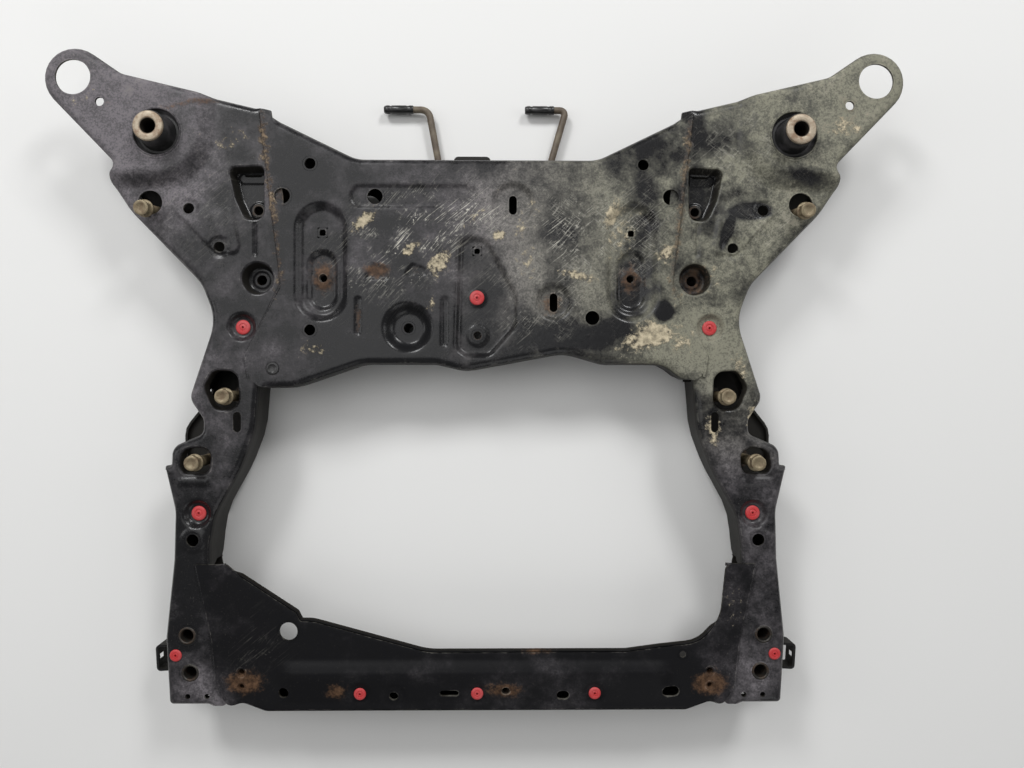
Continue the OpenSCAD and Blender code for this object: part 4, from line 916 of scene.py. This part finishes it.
def coat_finish(name, c, film_share, rough, specular=0.35):
    """Black dipped coat with orange peel, under dust film, grit, scratches, mud, rust and worn edges; walls
    get painted shade.
    """
    m = Finish(name, c.coat, rough, specular=specular)
    broad, cloud = m.noise(7.0), m.noise(24.0, 8.0, 0.68)
    speck, fine = m.noise(150.0, 5.0, 0.72), m.noise(420.0, 4.0, 0.65)
    crust = m.mean(cloud, speck)
    tint = m.wear("tint")
    # Dust film, grey with a painted purple sheen on the left and olive on the right: drifts of broad noise,
    # broken by specks
    film = m.layer("film", m.mean(broad, cloud), m.level(tint, 2.0, 3.2), 0.08, 0.84)
    film = m.times(film, film_share, m.level(m.rise(m.math("ADD", speck, fine), 0.8, 1.2), 0.55, 1.45))
    tone = m.blend(film, c.coat, m.blend(tint, c.film_and_sheen_left, c.film_right))
    # Grit, mostly on the right
    grit = m.layer("film", m.mean(cloud, speck, 0.45), 3.4, 0.75, 1.2)
    tone = m.blend(m.times(grit, m.level(tint, 0.2, 0.75)), tone, c.grit)
    # Painted shade: upright walls and the deep places between the panels take the dark shade colour
    shade = m.most(m.times(m.wear("deep"), 0.85), m.times(m.wall(), 0.9))
    tone = m.blend(shade, tone, c.deep)
    # Fine flecks of grit all over the dust
    tone = m.blend(m.times(m.rise(fine, 0.62, 0.7), m.times(m.wear("film"), 0.5)), tone, c.grit)
    # Scratches: hairs in two directions, dabs and flecks in clusters, and longer hairs between them
    hair = m.streak((32.0, 900.0), 50.0, 0.58, 0.64)
    cross = m.times(m.streak((30.0, 900.0), -36.0, 0.57, 0.63), tint)
    dabs = m.streak((50.0, 260.0), 44.0, 0.62, 0.68, 4.0, 0.65)
    flecks = m.rise(m.noise(300.0, 3.0, 0.6), 0.62, 0.68)
    cluster = m.rise(m.noise(30.0, 4.0, 0.65), 0.46, 0.58)
    long_hair = m.times(m.streak((17.0, 620.0), 39.0, 0.59, 0.64), m.rise(m.noise(17.0, 3.0), 0.48, 0.58))
    strokes = m.most(m.times(m.most(hair, cross, dabs, flecks), cluster), long_hair)
    strokes = m.times(strokes, m.rise(speck, 0.32, 0.56), m.wear("scratch"))
    tone = m.blend(strokes, tone, c.pale)
    # Dried mud, rust and worn edges, each broken up by the same crust
    mud = m.layer("mud", crust, 3.2, 0.48, 0.8)
    mud_tone = m.blend(m.rise(speck, 0.3, 0.7), scaled(c.mud, 0.6), scaled(c.mud, 1.9))
    tone = m.blend(m.times(mud, 0.92), tone, mud_tone)
    rust = m.layer("rust", crust, 2.1, 0.34, 0.8)
    rust_tone = m.blend(m.rise(speck, 0.3, 0.75), scaled(c.rust, 0.45), scaled(c.rust, 1.7))
    tone = m.blend(m.times(rust, 0.85), tone, rust_tone)
    worn = m.layer("edge", crust, 2.4, 0.85, 1.3)
    tone = m.blend(m.times(worn, 0.2), tone, c.pale)
    m.set(m.shader.inputs["Base Color"], tone)
    # Whatever lies on the coat is dull, and mud and rust stand up from it
    dull = m.most(film, mud, rust, m.times(shade, 0.7))
    m.set(m.shader.inputs["Roughness"], m.level(m.math("MINIMUM", dull, 1.0), rough, 0.85))
    relief = m.math("MULTIPLY_ADD", rust, 0.5, m.times(speck, 0.35))
    m.bump(m.math("MULTIPLY_ADD", mud, 1.2, relief), 0.0007)
    return m.material


def metal_finish(name, base, stain, rough, metallic, share):
    """Bare or plated steel: turning marks in the tone, stains where broad noise is high, and painted shade,
    near black, where the bore attribute is set.
    """
    m = Finish(name, base, rough, metallic)
    cloud, fine = m.noise(110.0, 6.0, 0.65), m.noise(600.0, 3.0)
    stained = m.times(m.rise(cloud, 0.42, 0.66), share)
    tone = m.blend(stained, m.blend(fine, scaled(base, 0.8), scaled(base, 1.15)), stain)
    # Painted shade: near black in and round a bush sleeve's bore, where shade falls
    m.set(m.shader.inputs["Base Color"], m.blend(m.wear("bore"), tone, scaled(base, 0.06)))
    m.set(m.shader.inputs["Roughness"], m.level(stained, rough, 0.85))
    m.bump(m.math("MULTIPLY_ADD", cloud, 0.6, fine), 0.0002)
    return m.material


def moulded_finish(name, base, dusty, rough, share):
    """Rubber or moulded plastic: fine grain, with dust in patches."""
    m = Finish(name, base, rough)
    cloud, fine = m.noise(60.0, 6.0, 0.6), m.noise(420.0, 3.0)
    film = m.times(m.rise(cloud, 0.4, 0.75), share)
    m.set(m.shader.inputs["Base Color"], m.blend(film, base, dusty))
    m.set(m.shader.inputs["Roughness"], m.level(film, rough, 0.8))
    m.bump(fine, 0.00012)
    return m.material


def finish(name):
    """The named finish, made once."""
    made = bpy.data.materials.get(name)
    if made:
        return made
    c = bpy.context.scene.subframe_finish
    dusty_plug = tuple(0.6 * v + 0.2 for v in c.plug)
    rows = {
        "panel_coat": (coat_finish, c, 1.0, 0.25),
        "upper_coat": (coat_finish, c, 0.55, 0.4),
        "front_coat": (coat_finish, c, 0.5, 0.45, 0.08),
        "collar_steel": (metal_finish, c.steel, c.rust, 0.45, 0.6, 0.6),
        "sleeve_steel": (metal_finish, c.bare, scaled(c.rust, 2.4), 0.45, 0.35, 0.7),
        "bolt_plating": (metal_finish, c.zinc, scaled(c.rust, 1.2), 0.42, 0.45, 0.6),
        "plug_plastic": (moulded_finish, c.plug, dusty_plug, 0.45, 0.25),
        "soft_rubber": (moulded_finish, c.rubber, c.film_and_sheen_left, 0.55, 0.3),
        "gloss_rubber": (moulded_finish, c.rubber, c.film_and_sheen_left, 0.28, 0.1),
        "pipe_coat": (moulded_finish, c.pipe, c.mud, 0.5, 0.4),
    }
    make, *values = rows[name]
    return make(name, *values)


# Pieces

def riding(mesh, name, material, slot_name, nodes, wear, angle):
    """The mesh as an object on the part's one body: smooth up to an angle, its wear and painted shade as
    point attributes.
    """
    for key, values in wear.items():
        column = mesh.attributes.new(key, "FLOAT", "POINT").data
        column.foreach_set("value", np.asarray(values, np.float32))
    mesh.materials.append(material)
    mesh.shade_smooth()
    mesh.set_sharp_from_angle(angle=np.radians(angle))
    obj = bpy.data.objects.new(name, mesh)
    bpy.context.scene.collection.objects.link(obj)
    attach(obj, "root")
    if nodes:
        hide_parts(*nodes)
    return obj


def crisp_edges(mesh):
    """Marks every edge with one face as sharp, so that a thickened sheet has crisp rims."""
    side = np.empty(len(mesh.loops), np.int32)
    mesh.loops.foreach_get("edge_index", side)
    single = np.bincount(side, minlength=len(mesh.edges)) == 1
    sharp = mesh.attributes.get("sharp_edge") or mesh.attributes.new("sharp_edge", "BOOLEAN", "EDGE")
    flags = np.zeros(len(mesh.edges), bool)
    sharp.data.foreach_get("value", flags)
    sharp.data.foreach_set("value", flags | single)


def pressed(name, points, faces, edge, finish_name, slot_name, node):
    """A pressing's top face as a piece, thickened downwards with crisp rims."""
    mesh = bpy.data.meshes.new(name)
    mesh.from_pydata((points * MM).tolist(), [], faces)
    mesh.validate()
    wear = weather(points, edge)
    obj = riding(mesh, name, finish(finish_name), slot_name, (node,), wear, PRESSED_ANGLE)
    crisp_edges(mesh)
    solid = obj.modifiers.new("Sheet", "SOLIDIFY")
    solid.thickness = bpy.context.scene.subframe_sheet.thickness
    solid.offset = -1.0
    solid.use_rim = True
    return obj


def turned(name, parts, finish_name, slot_name, *nodes, wear=weather):
    """Several closed parts as one piece, with all faces turned outwards."""
    points, faces = gather(parts)
    mesh = bpy.data.meshes.new(name)
    mesh.from_pydata((points * MM).tolist(), [], faces)
    mesh.validate()
    b = bmesh.new()
    b.from_mesh(mesh)
    bmesh.ops.recalc_face_normals(b, faces=b.faces)
    b.to_mesh(mesh)
    b.free()
    return riding(mesh, name, finish(finish_name), slot_name, nodes, wear(points), TURNED_ANGLE)


def dressed(name, finish_name, slot_name, reshape=None):
    """A copy of a CAD node with its doubles merged, smooth up to an angle, in place of the node."""
    node = frame["nodes"][name]
    b = bmesh.new()
    b.from_mesh(node.data)
    b.transform(node.matrix_world)
    bmesh.ops.remove_doubles(b, verts=b.verts, dist=0.00002)
    mesh = bpy.data.meshes.new(name + "_dressed")
    b.to_mesh(mesh)
    b.free()
    flat = np.empty(3 * len(mesh.vertices))
    mesh.vertices.foreach_get("co", flat)
    points = flat.reshape(-1, 3) / MM
    if reshape:
        points = reshape(points)
        mesh.vertices.foreach_set("co", (points * MM).ravel())
    wear = weather(points)
    return riding(mesh, name + "_dressed", finish(finish_name), slot_name, (name,), wear, DRESSED_ANGLE)


def tucked(p):
    """Draws the upper trays' inner walls at the front corners outwards, under the front panel's edges."""
    x, y = np.abs(p[:, 0]), p[:, 1]
    shift, front, ease = 17.0, -218.0, 26.0
    inner, outer, fade = 300.0, 352.0, 22.0
    out = shift * soft((front - y) / ease) * soft((outer - x) / fade) * (x > inner)
    return p + np.outer(np.sign(p[:, 0]) * out, (1.0, 0.0, 0.0))


def narrowed(p):
    """Draws the front channel's rear wall forwards, under the front panel's inner edge."""
    shift, middle, ease = 15.0, -380.0, 14.0
    return p - np.outer(shift * soft((p[:, 1] - middle) / ease), (0.0, 1.0, 0.0))


# Turned parts

def span(node):
    """Heights of a node's lowest and highest points."""
    low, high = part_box(node)
    return low[2] / MM, high[2] / MM


def tube_part(inner, outer, low, high, chamfer=0.8):
    """A plain tube with broken edges, its closed outline turned about the axis."""
    rows = [
        [inner, low + chamfer], [inner, high - chamfer], [inner + chamfer, high], [outer - chamfer, high],
        [outer, high - chamfer], [outer, low + chamfer], [outer - chamfer, low], [inner + chamfer, low]]
    return lathe(rows, 64, closed=True)


def nut_part(outer, inner, low, high):
    """A hexagon nut: a polygon with turned-off corners, and a bore whose radius waves with the thread."""
    turns = np.linspace(low + 0.8, high - 0.8, 13)
    thread = [[inner + 0.35 * (k % 2), z] for k, z in enumerate(turns)]
    rows = [[inner + 1.0, low], *thread, [inner + 1.0, high], [outer * 0.87, high], [outer, high - 1.2],
            [outer, low + 1.2], [outer * 0.87, low]]
    n = len(thread)
    return lathe(rows, 48, 6, (n + 3, n + 4), closed=True)


def bolt_part(shank, foot, seat):
    """A flanged hexagon bolt along the axis: chamfered point, waved thread, washer flange and dished head."""
    half_pitch, flats = 0.875, 9.81
    top = seat + 13.0
    turns = np.arange(foot + 1.5, seat - 14.0, half_pitch)
    thread = [[shank - 0.45 * (k % 2), z] for k, z in enumerate(turns)]
    rows = [
        [0.6, foot], [shank - 1.2, foot], *thread, [shank, seat - 12.0], [shank, seat],
        [10.8, seat], [11.0, seat + 0.5], [10.9, seat + 2.0], [9.9, seat + 3.0],
        [flats, seat + 3.4], [flats, top - 1.6], [9.2, top - 0.5], [8.2, top],
        [5.6, top], [5.0, top - 0.5], [0.6, top - 0.6]]
    n = len(rows)
    return lathe(rows, 72, 6, (n - 7, n - 6))


def plug_part(radius, z):
    """A moulded plug's head: low dome with a rounded edge, a ring groove and a centre hole; a stem below."""
    rows = [
        [0.5, z - 9.0], [3.0, z - 9.0], [3.8, z - 5.0], [3.8, z], [radius - 0.5, z], [radius, z + 0.7],
        [radius - 0.5, z + 1.6], [radius - 1.6, z + 2.1], [0.55 * radius, z + 2.2], [0.5 * radius, z + 1.7],
        [0.42 * radius, z + 1.7], [0.37 * radius, z + 2.1], [1.7, z + 2.15], [1.4, z + 1.8], [1.3, z - 1.5],
        [0.4, z - 1.6]]
    return lathe(rows, 48)


def blind_plug_part(z):
    """A blind plug: a cap with a shallow dish, over a tapered stem in the panel's hole."""
    rows = [
        [0.4, z - 8.0], [5.0, z - 8.0], [5.6, z - 6.0], [5.6, z], [7.6, z], [8.0, z + 0.5], [7.4, z + 1.2],
        [5.6, z + 1.4], [5.0, z + 1.0], [0.4, z + 0.9]]
    return lathe(rows, 48)


def can_part(low, high):
    """A bush's outer can, with a rolled upper edge."""
    rows = [
        [28.5, low + 1], [28.5, high - 1.5], [29.2, high - 0.3], [30.2, high], [31.0, high - 0.8],
        [31.0, low + 0.8], [30.2, low], [29.2, low]]
    return lathe(rows, 96, closed=True)


def rubber_part(low, high):
    """A bush's rubber: a collar round the sleeve that sinks to a ring valley and meets the can."""
    rows = [
        [18.6, low + 3], [18.6, high - 0.5], [19.3, high], [20.0, high - 1.0], [20.4, 100.0], [21.2, 94.0],
        [23.0, 90.5], [25.5, 90.0], [27.6, 92.0], [28.5, 93.0], [28.5, low + 5.0], [26.0, low + 1.5],
        [22.0, low], [19.2, low + 1.0]]
    return lathe(rows, 96, closed=True)


def sleeve_part(inner, low, high):
    """A bush's sleeve: a thick tube with a wide lead-in and rounded ends."""
    rows = [
        [inner, low + 1.2], [inner, high - 1.4], [10.6, high - 0.2], [11.4, high], [16.9, high],
        [17.9, high - 0.4], [18.6, high - 1.6], [18.6, low + 1.6], [17.9, low + 0.4], [16.9, low],
        [10.6, low]]
    return lathe(rows, 96, closed=True)


def hose_end_part():
    """A moulded hose end: a stepped nose and two grooves."""
    rows = [
        [0.4, 0.0], [4.0, 0.0], [4.9, 0.8], [5.8, 4.0], [5.8, 7.0], [5.1, 8.0], [5.1, 10.0], [5.8, 11.0],
        [5.8, 30.0], [5.3, 31.0], [5.3, 33.0], [5.8, 34.0], [5.8, 39.0], [5.2, 40.0], [0.4, 40.0]]
    return lathe(rows, 48)


def both_sides(part, x, y, z=0.0, lean=0.0):
    """The same part on the left and on the right."""
    return [placed(part, s * x, y, z, lean) for s in (-1, 1)]


# Operators

class SUBFRAME_OT_side_panels(bpy.types.Operator):
    """Makes the right side panel and its mirror image on the left."""
    bl_idname = "subframe.side_panels"
    bl_label = "Side panels"

    def execute(self, context):
        points, faces, edge = side_pressing(context.scene.subframe_sheet).build()
        for side, shape in (("right", (points, faces)), ("left", mirrored(points, faces))):
            pressed(side + "_side_panel", *shape, edge, "panel_coat", "coated_panel",
                    side + "_side_lower_panel")
        return {"FINISHED"}


class SUBFRAME_OT_rear_panel(bpy.types.Operator):
    """Makes the rear panel."""
    bl_idname = "subframe.rear_panel"
    bl_label = "Rear panel"

    def execute(self, context):
        shape = rear_pressing(context.scene.subframe_sheet).build()
        pressed("rear_panel", *shape, "panel_coat", "coated_panel", "rear_lower_panel")
        return {"FINISHED"}


class SUBFRAME_OT_front_panel(bpy.types.Operator):
    """Makes the front crossmember's panel."""
    bl_idname = "subframe.front_panel"
    bl_label = "Front panel"

    def execute(self, context):
        shape = front_pressing(context.scene.subframe_sheet).build()
        pressed("front_panel", *shape, "front_coat", "front_panel", "front_lower_panel")
        return {"FINISHED"}


class SUBFRAME_OT_hidden_panels(bpy.types.Operator):
    """Dresses the upper trays, the tab, the clips and the slotted brackets."""
    bl_idname = "subframe.hidden_panels"
    bl_label = "Upper panels and brackets"

    def execute(self, context):
        for name in ("rear_upper_panel", "rear_tab"):
            dressed(name, "upper_coat", "coated_panel")
        for name in ("left_side_upper_panel", "right_side_upper_panel"):
            dressed(name, "upper_coat", "coated_panel", tucked)
        dressed("front_upper_panel", "upper_coat", "front_panel", narrowed)
        for name in ("left_front_bracket", "right_front_bracket"):
            dressed(name, "upper_coat", "front_panel")
        dressed("pipe_clips", "soft_rubber", "black_rubber")
        return {"FINISHED"}


class SUBFRAME_OT_bushes(bpy.types.Operator):
    """Makes the two bushes: can, rubber and sleeve."""
    bl_idname = "subframe.bushes"
    bl_label = "Bushes"

    def execute(self, context):
        for side, s in SIDES:
            x, y = s * BUSH[0], BUSH[1]
            can, rubber, sleeve = (side + "_bush_" + word for word in ("can", "rubber", "sleeve"))
            inner, (low, high) = bore(side + "_rear_body_mount"), span(sleeve)

            def wear(p):
                """Painted shade: the sleeve is painted near black in its bore and on its outside, where shade
                falls, and is bare at its upper end.
                """
                away = np.hypot(p[:, 0] - x, p[:, 1] - y)
                end = soft((p[:, 2] - high + 3.0) / 1.5)
                return {"bore": 1.0 - soft((away - 9.4) / 1.2) * soft((18.5 - away) / 0.8 + end)}

            turned(side + "_bush_shell", [placed(can_part(*span(can)), x, y)], "panel_coat",
                   "worn_steel", can)
            turned(side + "_bush_rubber_ring", [placed(rubber_part(*span(rubber)), x, y)], "soft_rubber",
                   "bush_rubber", rubber)
            turned(side + "_bush_tube", [placed(sleeve_part(inner, low, high), x, y)], "sleeve_steel",
                   "bare_sleeve", sleeve, wear=wear)
        return {"FINISHED"}


class SUBFRAME_OT_collars(bpy.types.Operator):
    """Makes the collars and the welded nuts."""
    bl_idname = "subframe.collars"
    bl_label = "Collars and nuts"

    def execute(self, context):
        front = tube_part(bore("right_front_body_mount_a"), 11.0, 0.0, 86.0, 1.0)
        for side, s in SIDES:
            turned(side + "_front_tubes", [placed(front, s * x, y) for x, y in FRONT_MOUNTS], "collar_steel",
                   "worn_steel", side + "_front_collars")
        rack = tube_part(bore("right_steering_gear_bolt"), 10.6, 17.0, 62.0)
        turned("rack_tubes", both_sides(rack, *RACK_BOLT), "collar_steel", "worn_steel", "rack_collars")
        torque = tube_part(bore("torque_rod_bolt"), 10.4, 20.0, 76.0)
        turned("torque_rod_tube", [placed(torque, *TORQUE_ROD)], "collar_steel", "worn_steel",
               "torque_rod_collar")
        stay = nut_part(9.4, bore("right_stay_nut"), 63.0, 72.0)
        egg = nut_part(9.4, bore("undertray_nut"), 70.0, 79.0)
        nuts = both_sides(stay, *STAY_NUT) + [placed(egg, *EGG_NUT)]
        turned("stay_nut_set", nuts, "collar_steel", "worn_steel", "stay_nuts")
        ring = tube_part(bore("right_stabiliser_nut"), 8.6, 65.0, 69.0, 0.5)
        turned("stabiliser_nut_set", both_sides(ring, *STABILISER_NUT), "collar_steel", "worn_steel",
               "stabiliser_nuts")
        for name in ("front_weld_nut", "arm_rear_spacers", "arm_front_nuts"):
            dressed(name, "collar_steel", "worn_steel")
        return {"FINISHED"}


class SUBFRAME_OT_bolts(bpy.types.Operator):
    """Makes the flanged arm bolts."""
    bl_idname = "subframe.bolts"
    bl_label = "Arm bolts"

    def execute(self, context):
        pivot, lean = 17.0, 7.5
        rear = bolt_part(6.0, span("arm_rear_bolts")[0] - pivot, 82.0)
        parts = both_sides(rear, *ARM_REAR_BOLT, pivot, lean)
        turned("arm_rear_bolt_set", parts, "bolt_plating", "zinc_bolt", "arm_rear_bolts")
        front = bolt_part(7.0, span("arm_front_bolts")[0], 91.0)
        parts = [placed(front, s * x, y) for s in (-1, 1) for x, y in ARM_FRONT_BOLTS]
        turned("arm_front_bolt_set", parts, "bolt_plating", "zinc_bolt", "arm_front_bolts")
        return {"FINISHED"}


class SUBFRAME_OT_plugs(bpy.types.Operator):
    """Makes the red undertray plugs and the blind plug."""
    bl_idname = "subframe.plugs"
    bl_label = "Plugs"

    def execute(self, context):
        large, small = 9.4, 7.7
        dished = plug_part(large, SIDE_Z - PLUG_DISH)
        parts = [placed(dished, s * x, y) for s in (-1, 1) for x, y in SIDE_PLUGS]
        parts += both_sides(plug_part(small, SIDE_Z), *CORNER_PLUG)
        parts += [placed(plug_part(large, PANEL_Z - EGG_PLUG_DEPTH), *EGG_PLUG)]
        heights = front_level(np.array(FRONT_PLUGS))
        parts += [placed(plug_part(small, z), x, y) for (x, y), z in zip(FRONT_PLUGS, heights)]
        turned("undertray_plug_set", parts, "plug_plastic", "red_plug", "undertray_plugs")
        blind = placed(blind_plug_part(PANEL_Z), *BLIND_PLUG)
        turned("blind_plug_cap", [blind], "gloss_rubber", "black_rubber", "blind_plug")
        return {"FINISHED"}


class SUBFRAME_OT_pipe(bpy.types.Operator):
    """Makes the cooler pipe and its hose ends."""
    bl_idname = "subframe.pipe"
    bl_label = "Cooler pipe"

    def execute(self, context):
        height, radius, corner_steps = 10.0, 4.6, 9
        rear = place("left_hose_end")[1]
        route = [[-90, rear, 0], [-69, rear, 18], [-56.5, 306, 60], [-40, 180, 45], [78, 180, 45],
                 [100, 306, 60], [119.5, rear, 14], [103, rear, 0]]
        ends = corner_steps - 1
        line = even(rounded(route, corner_steps)[ends:-ends], 2.0, closed=False)
        tube = swept(np.column_stack([line, np.full(len(line), height)]), radius, 28)
        turned("cooler_tube", [tube], "pipe_coat", "pipe", "cooler_pipe")
        hose = hose_end_part()
        noses = (place("left_hose_end"), place("right_hose_end"))
        parts = [placed(hose, x, y, height, along_x=True) for x, y in noses]
        turned("hose_end_set", parts, "gloss_rubber", "black_rubber")
        return {"FINISHED"}


class SUBFRAME_OT_welds(bpy.types.Operator):
    """Lays the rippled weld beads along the seams."""
    bl_idname = "subframe.welds"
    bl_label = "Weld beads"

    def execute(self, context):
        radius, step, ripple, wander = context.scene.subframe_sheet.bead / MM, 0.8, 3.4, 17.0
        parts = []
        for s in (-1, 1):
            for seam, z in ((SEAM, SIDE_Z + 0.8), (FRONT_SEAM, SIDE_Z + 0.6)):
                line = even(np.asarray(seam, float), step, closed=False)
                run = step * np.arange(len(line))
                swell = 1.0 + 0.16 * np.abs(np.sin(run * np.pi / ripple)) + 0.12 * np.sin(run / wander)
                path = np.column_stack([s * line[:, 0], line[:, 1], np.full(len(line), z)])
                parts.append(swept(path, radius * swell, 14))
        turned("seam_welds", parts, "panel_coat", "coated_panel")
        return {"FINISHED"}


class SUBFRAME_OT_stage(bpy.types.Operator):
    """Sets the floor, the lamps, the sky and the camera."""
    bl_idname = "subframe.stage"
    bl_label = "Stage"

    def execute(self, context):
        scene, look = context.scene, context.scene.subframe_stage
        mesh = bpy.data.meshes.new("floor")
        w = 4.0
        mesh.from_pydata([(-w, -w, 0.0), (w, -w, 0.0), (w, w, 0.0), (-w, w, 0.0)], [], [(0, 1, 2, 3)])
        mesh.materials.append(Finish("floor_paint", look.floor, 0.8, 0.0, 0.2).material)
        floor = bpy.data.objects.new("floor", mesh)
        scene.collection.objects.link(floor)
        # Each lamp: name, place in metres, watts and width
        lamps = (
            ("key_left", (-1.4, 2.4, 2.25), look.key / 2, 0.8),
            ("key_right", (1.4, 2.4, 2.25), look.key / 2, 0.8),
            ("top", (-0.6, 0.65, 2.2), look.top, 1.9),
            ("fill", (0.6, -1.8, 1.5), look.fill, 1.2),
            ("left", (-2.0, 0.2, 1.3), look.side, 0.8),
            ("right", (2.0, 0.4, 1.3), look.side, 0.8))
        for name, where, watts, width in lamps:
            lamp = bpy.data.lights.new(name, "AREA")
            lamp.energy = watts
            lamp.size = width
            obj = bpy.data.objects.new(name, lamp)
            obj.location = where
            obj.rotation_euler = (-Vector(where)).to_track_quat("-Z", "Y").to_euler()
            scene.collection.objects.link(obj)
        world = bpy.data.worlds.new("sky")
        world.use_nodes = True
        back = world.node_tree.nodes["Background"]
        back.inputs["Color"].default_value = (1.0, 1.0, 1.0, 1.0)
        back.inputs["Strength"].default_value = look.sky
        scene.world = world
        lens = bpy.data.cameras.new("camera")
        lens.lens = look.lens
        lens.sensor_width = 36.0
        camera = bpy.data.objects.new("camera", lens)
        camera.location = (look.camera_x, look.camera_y, look.camera_height)
        camera.rotation_euler = look.camera_turn
        scene.collection.objects.link(camera)
        scene.camera = camera
        scene.view_settings.view_transform = "Standard"
        return {"FINISHED"}


class SUBFRAME_PT_parts(bpy.types.Panel):
    """Lists the parts and their sizes and colours."""
    bl_label = "Front subframe"
    bl_idname = "SUBFRAME_PT_parts"
    bl_space_type = "VIEW_3D"
    bl_region_type = "UI"
    bl_category = "Subframe"

    def draw(self, context):
        for key in GROUPS:
            group = getattr(context.scene, key)
            box = self.layout.box()
            for name in group.bl_rna.properties.keys():
                if name not in ("rna_type", "name"):
                    box.prop(group, name)
        for operator in OPERATORS:
            self.layout.operator(operator.bl_idname)


OPERATORS = (
    SUBFRAME_OT_stage, SUBFRAME_OT_side_panels, SUBFRAME_OT_rear_panel, SUBFRAME_OT_front_panel,
    SUBFRAME_OT_hidden_panels, SUBFRAME_OT_bushes, SUBFRAME_OT_collars, SUBFRAME_OT_bolts,
    SUBFRAME_OT_plugs, SUBFRAME_OT_pipe, SUBFRAME_OT_welds)
GROUPS = {
    "subframe_sheet": SubframeSheet, "subframe_finish": SubframeFinish, "subframe_stage": SubframeStage}
CLASSES = (*GROUPS.values(), *OPERATORS, SUBFRAME_PT_parts)


def register():
    """Adds the classes and the scene's groups of values."""
    for kind in CLASSES:
        bpy.utils.register_class(kind)
    for name, kind in GROUPS.items():
        setattr(bpy.types.Scene, name, bpy.props.PointerProperty(type=kind))


def unregister():
    """Takes them out again."""
    for name in GROUPS:
        delattr(bpy.types.Scene, name)
    for kind in reversed(CLASSES):
        bpy.utils.unregister_class(kind)


def main():
    """Makes every part in order."""
    register()
    bpy.ops.subframe.stage()
    bpy.ops.subframe.side_panels()
    bpy.ops.subframe.rear_panel()
    bpy.ops.subframe.front_panel()
    bpy.ops.subframe.hidden_panels()
    bpy.ops.subframe.bushes()
    bpy.ops.subframe.collars()
    bpy.ops.subframe.bolts()
    bpy.ops.subframe.plugs()
    bpy.ops.subframe.pipe()
    bpy.ops.subframe.welds()


if __name__ == "__main__":
    main()
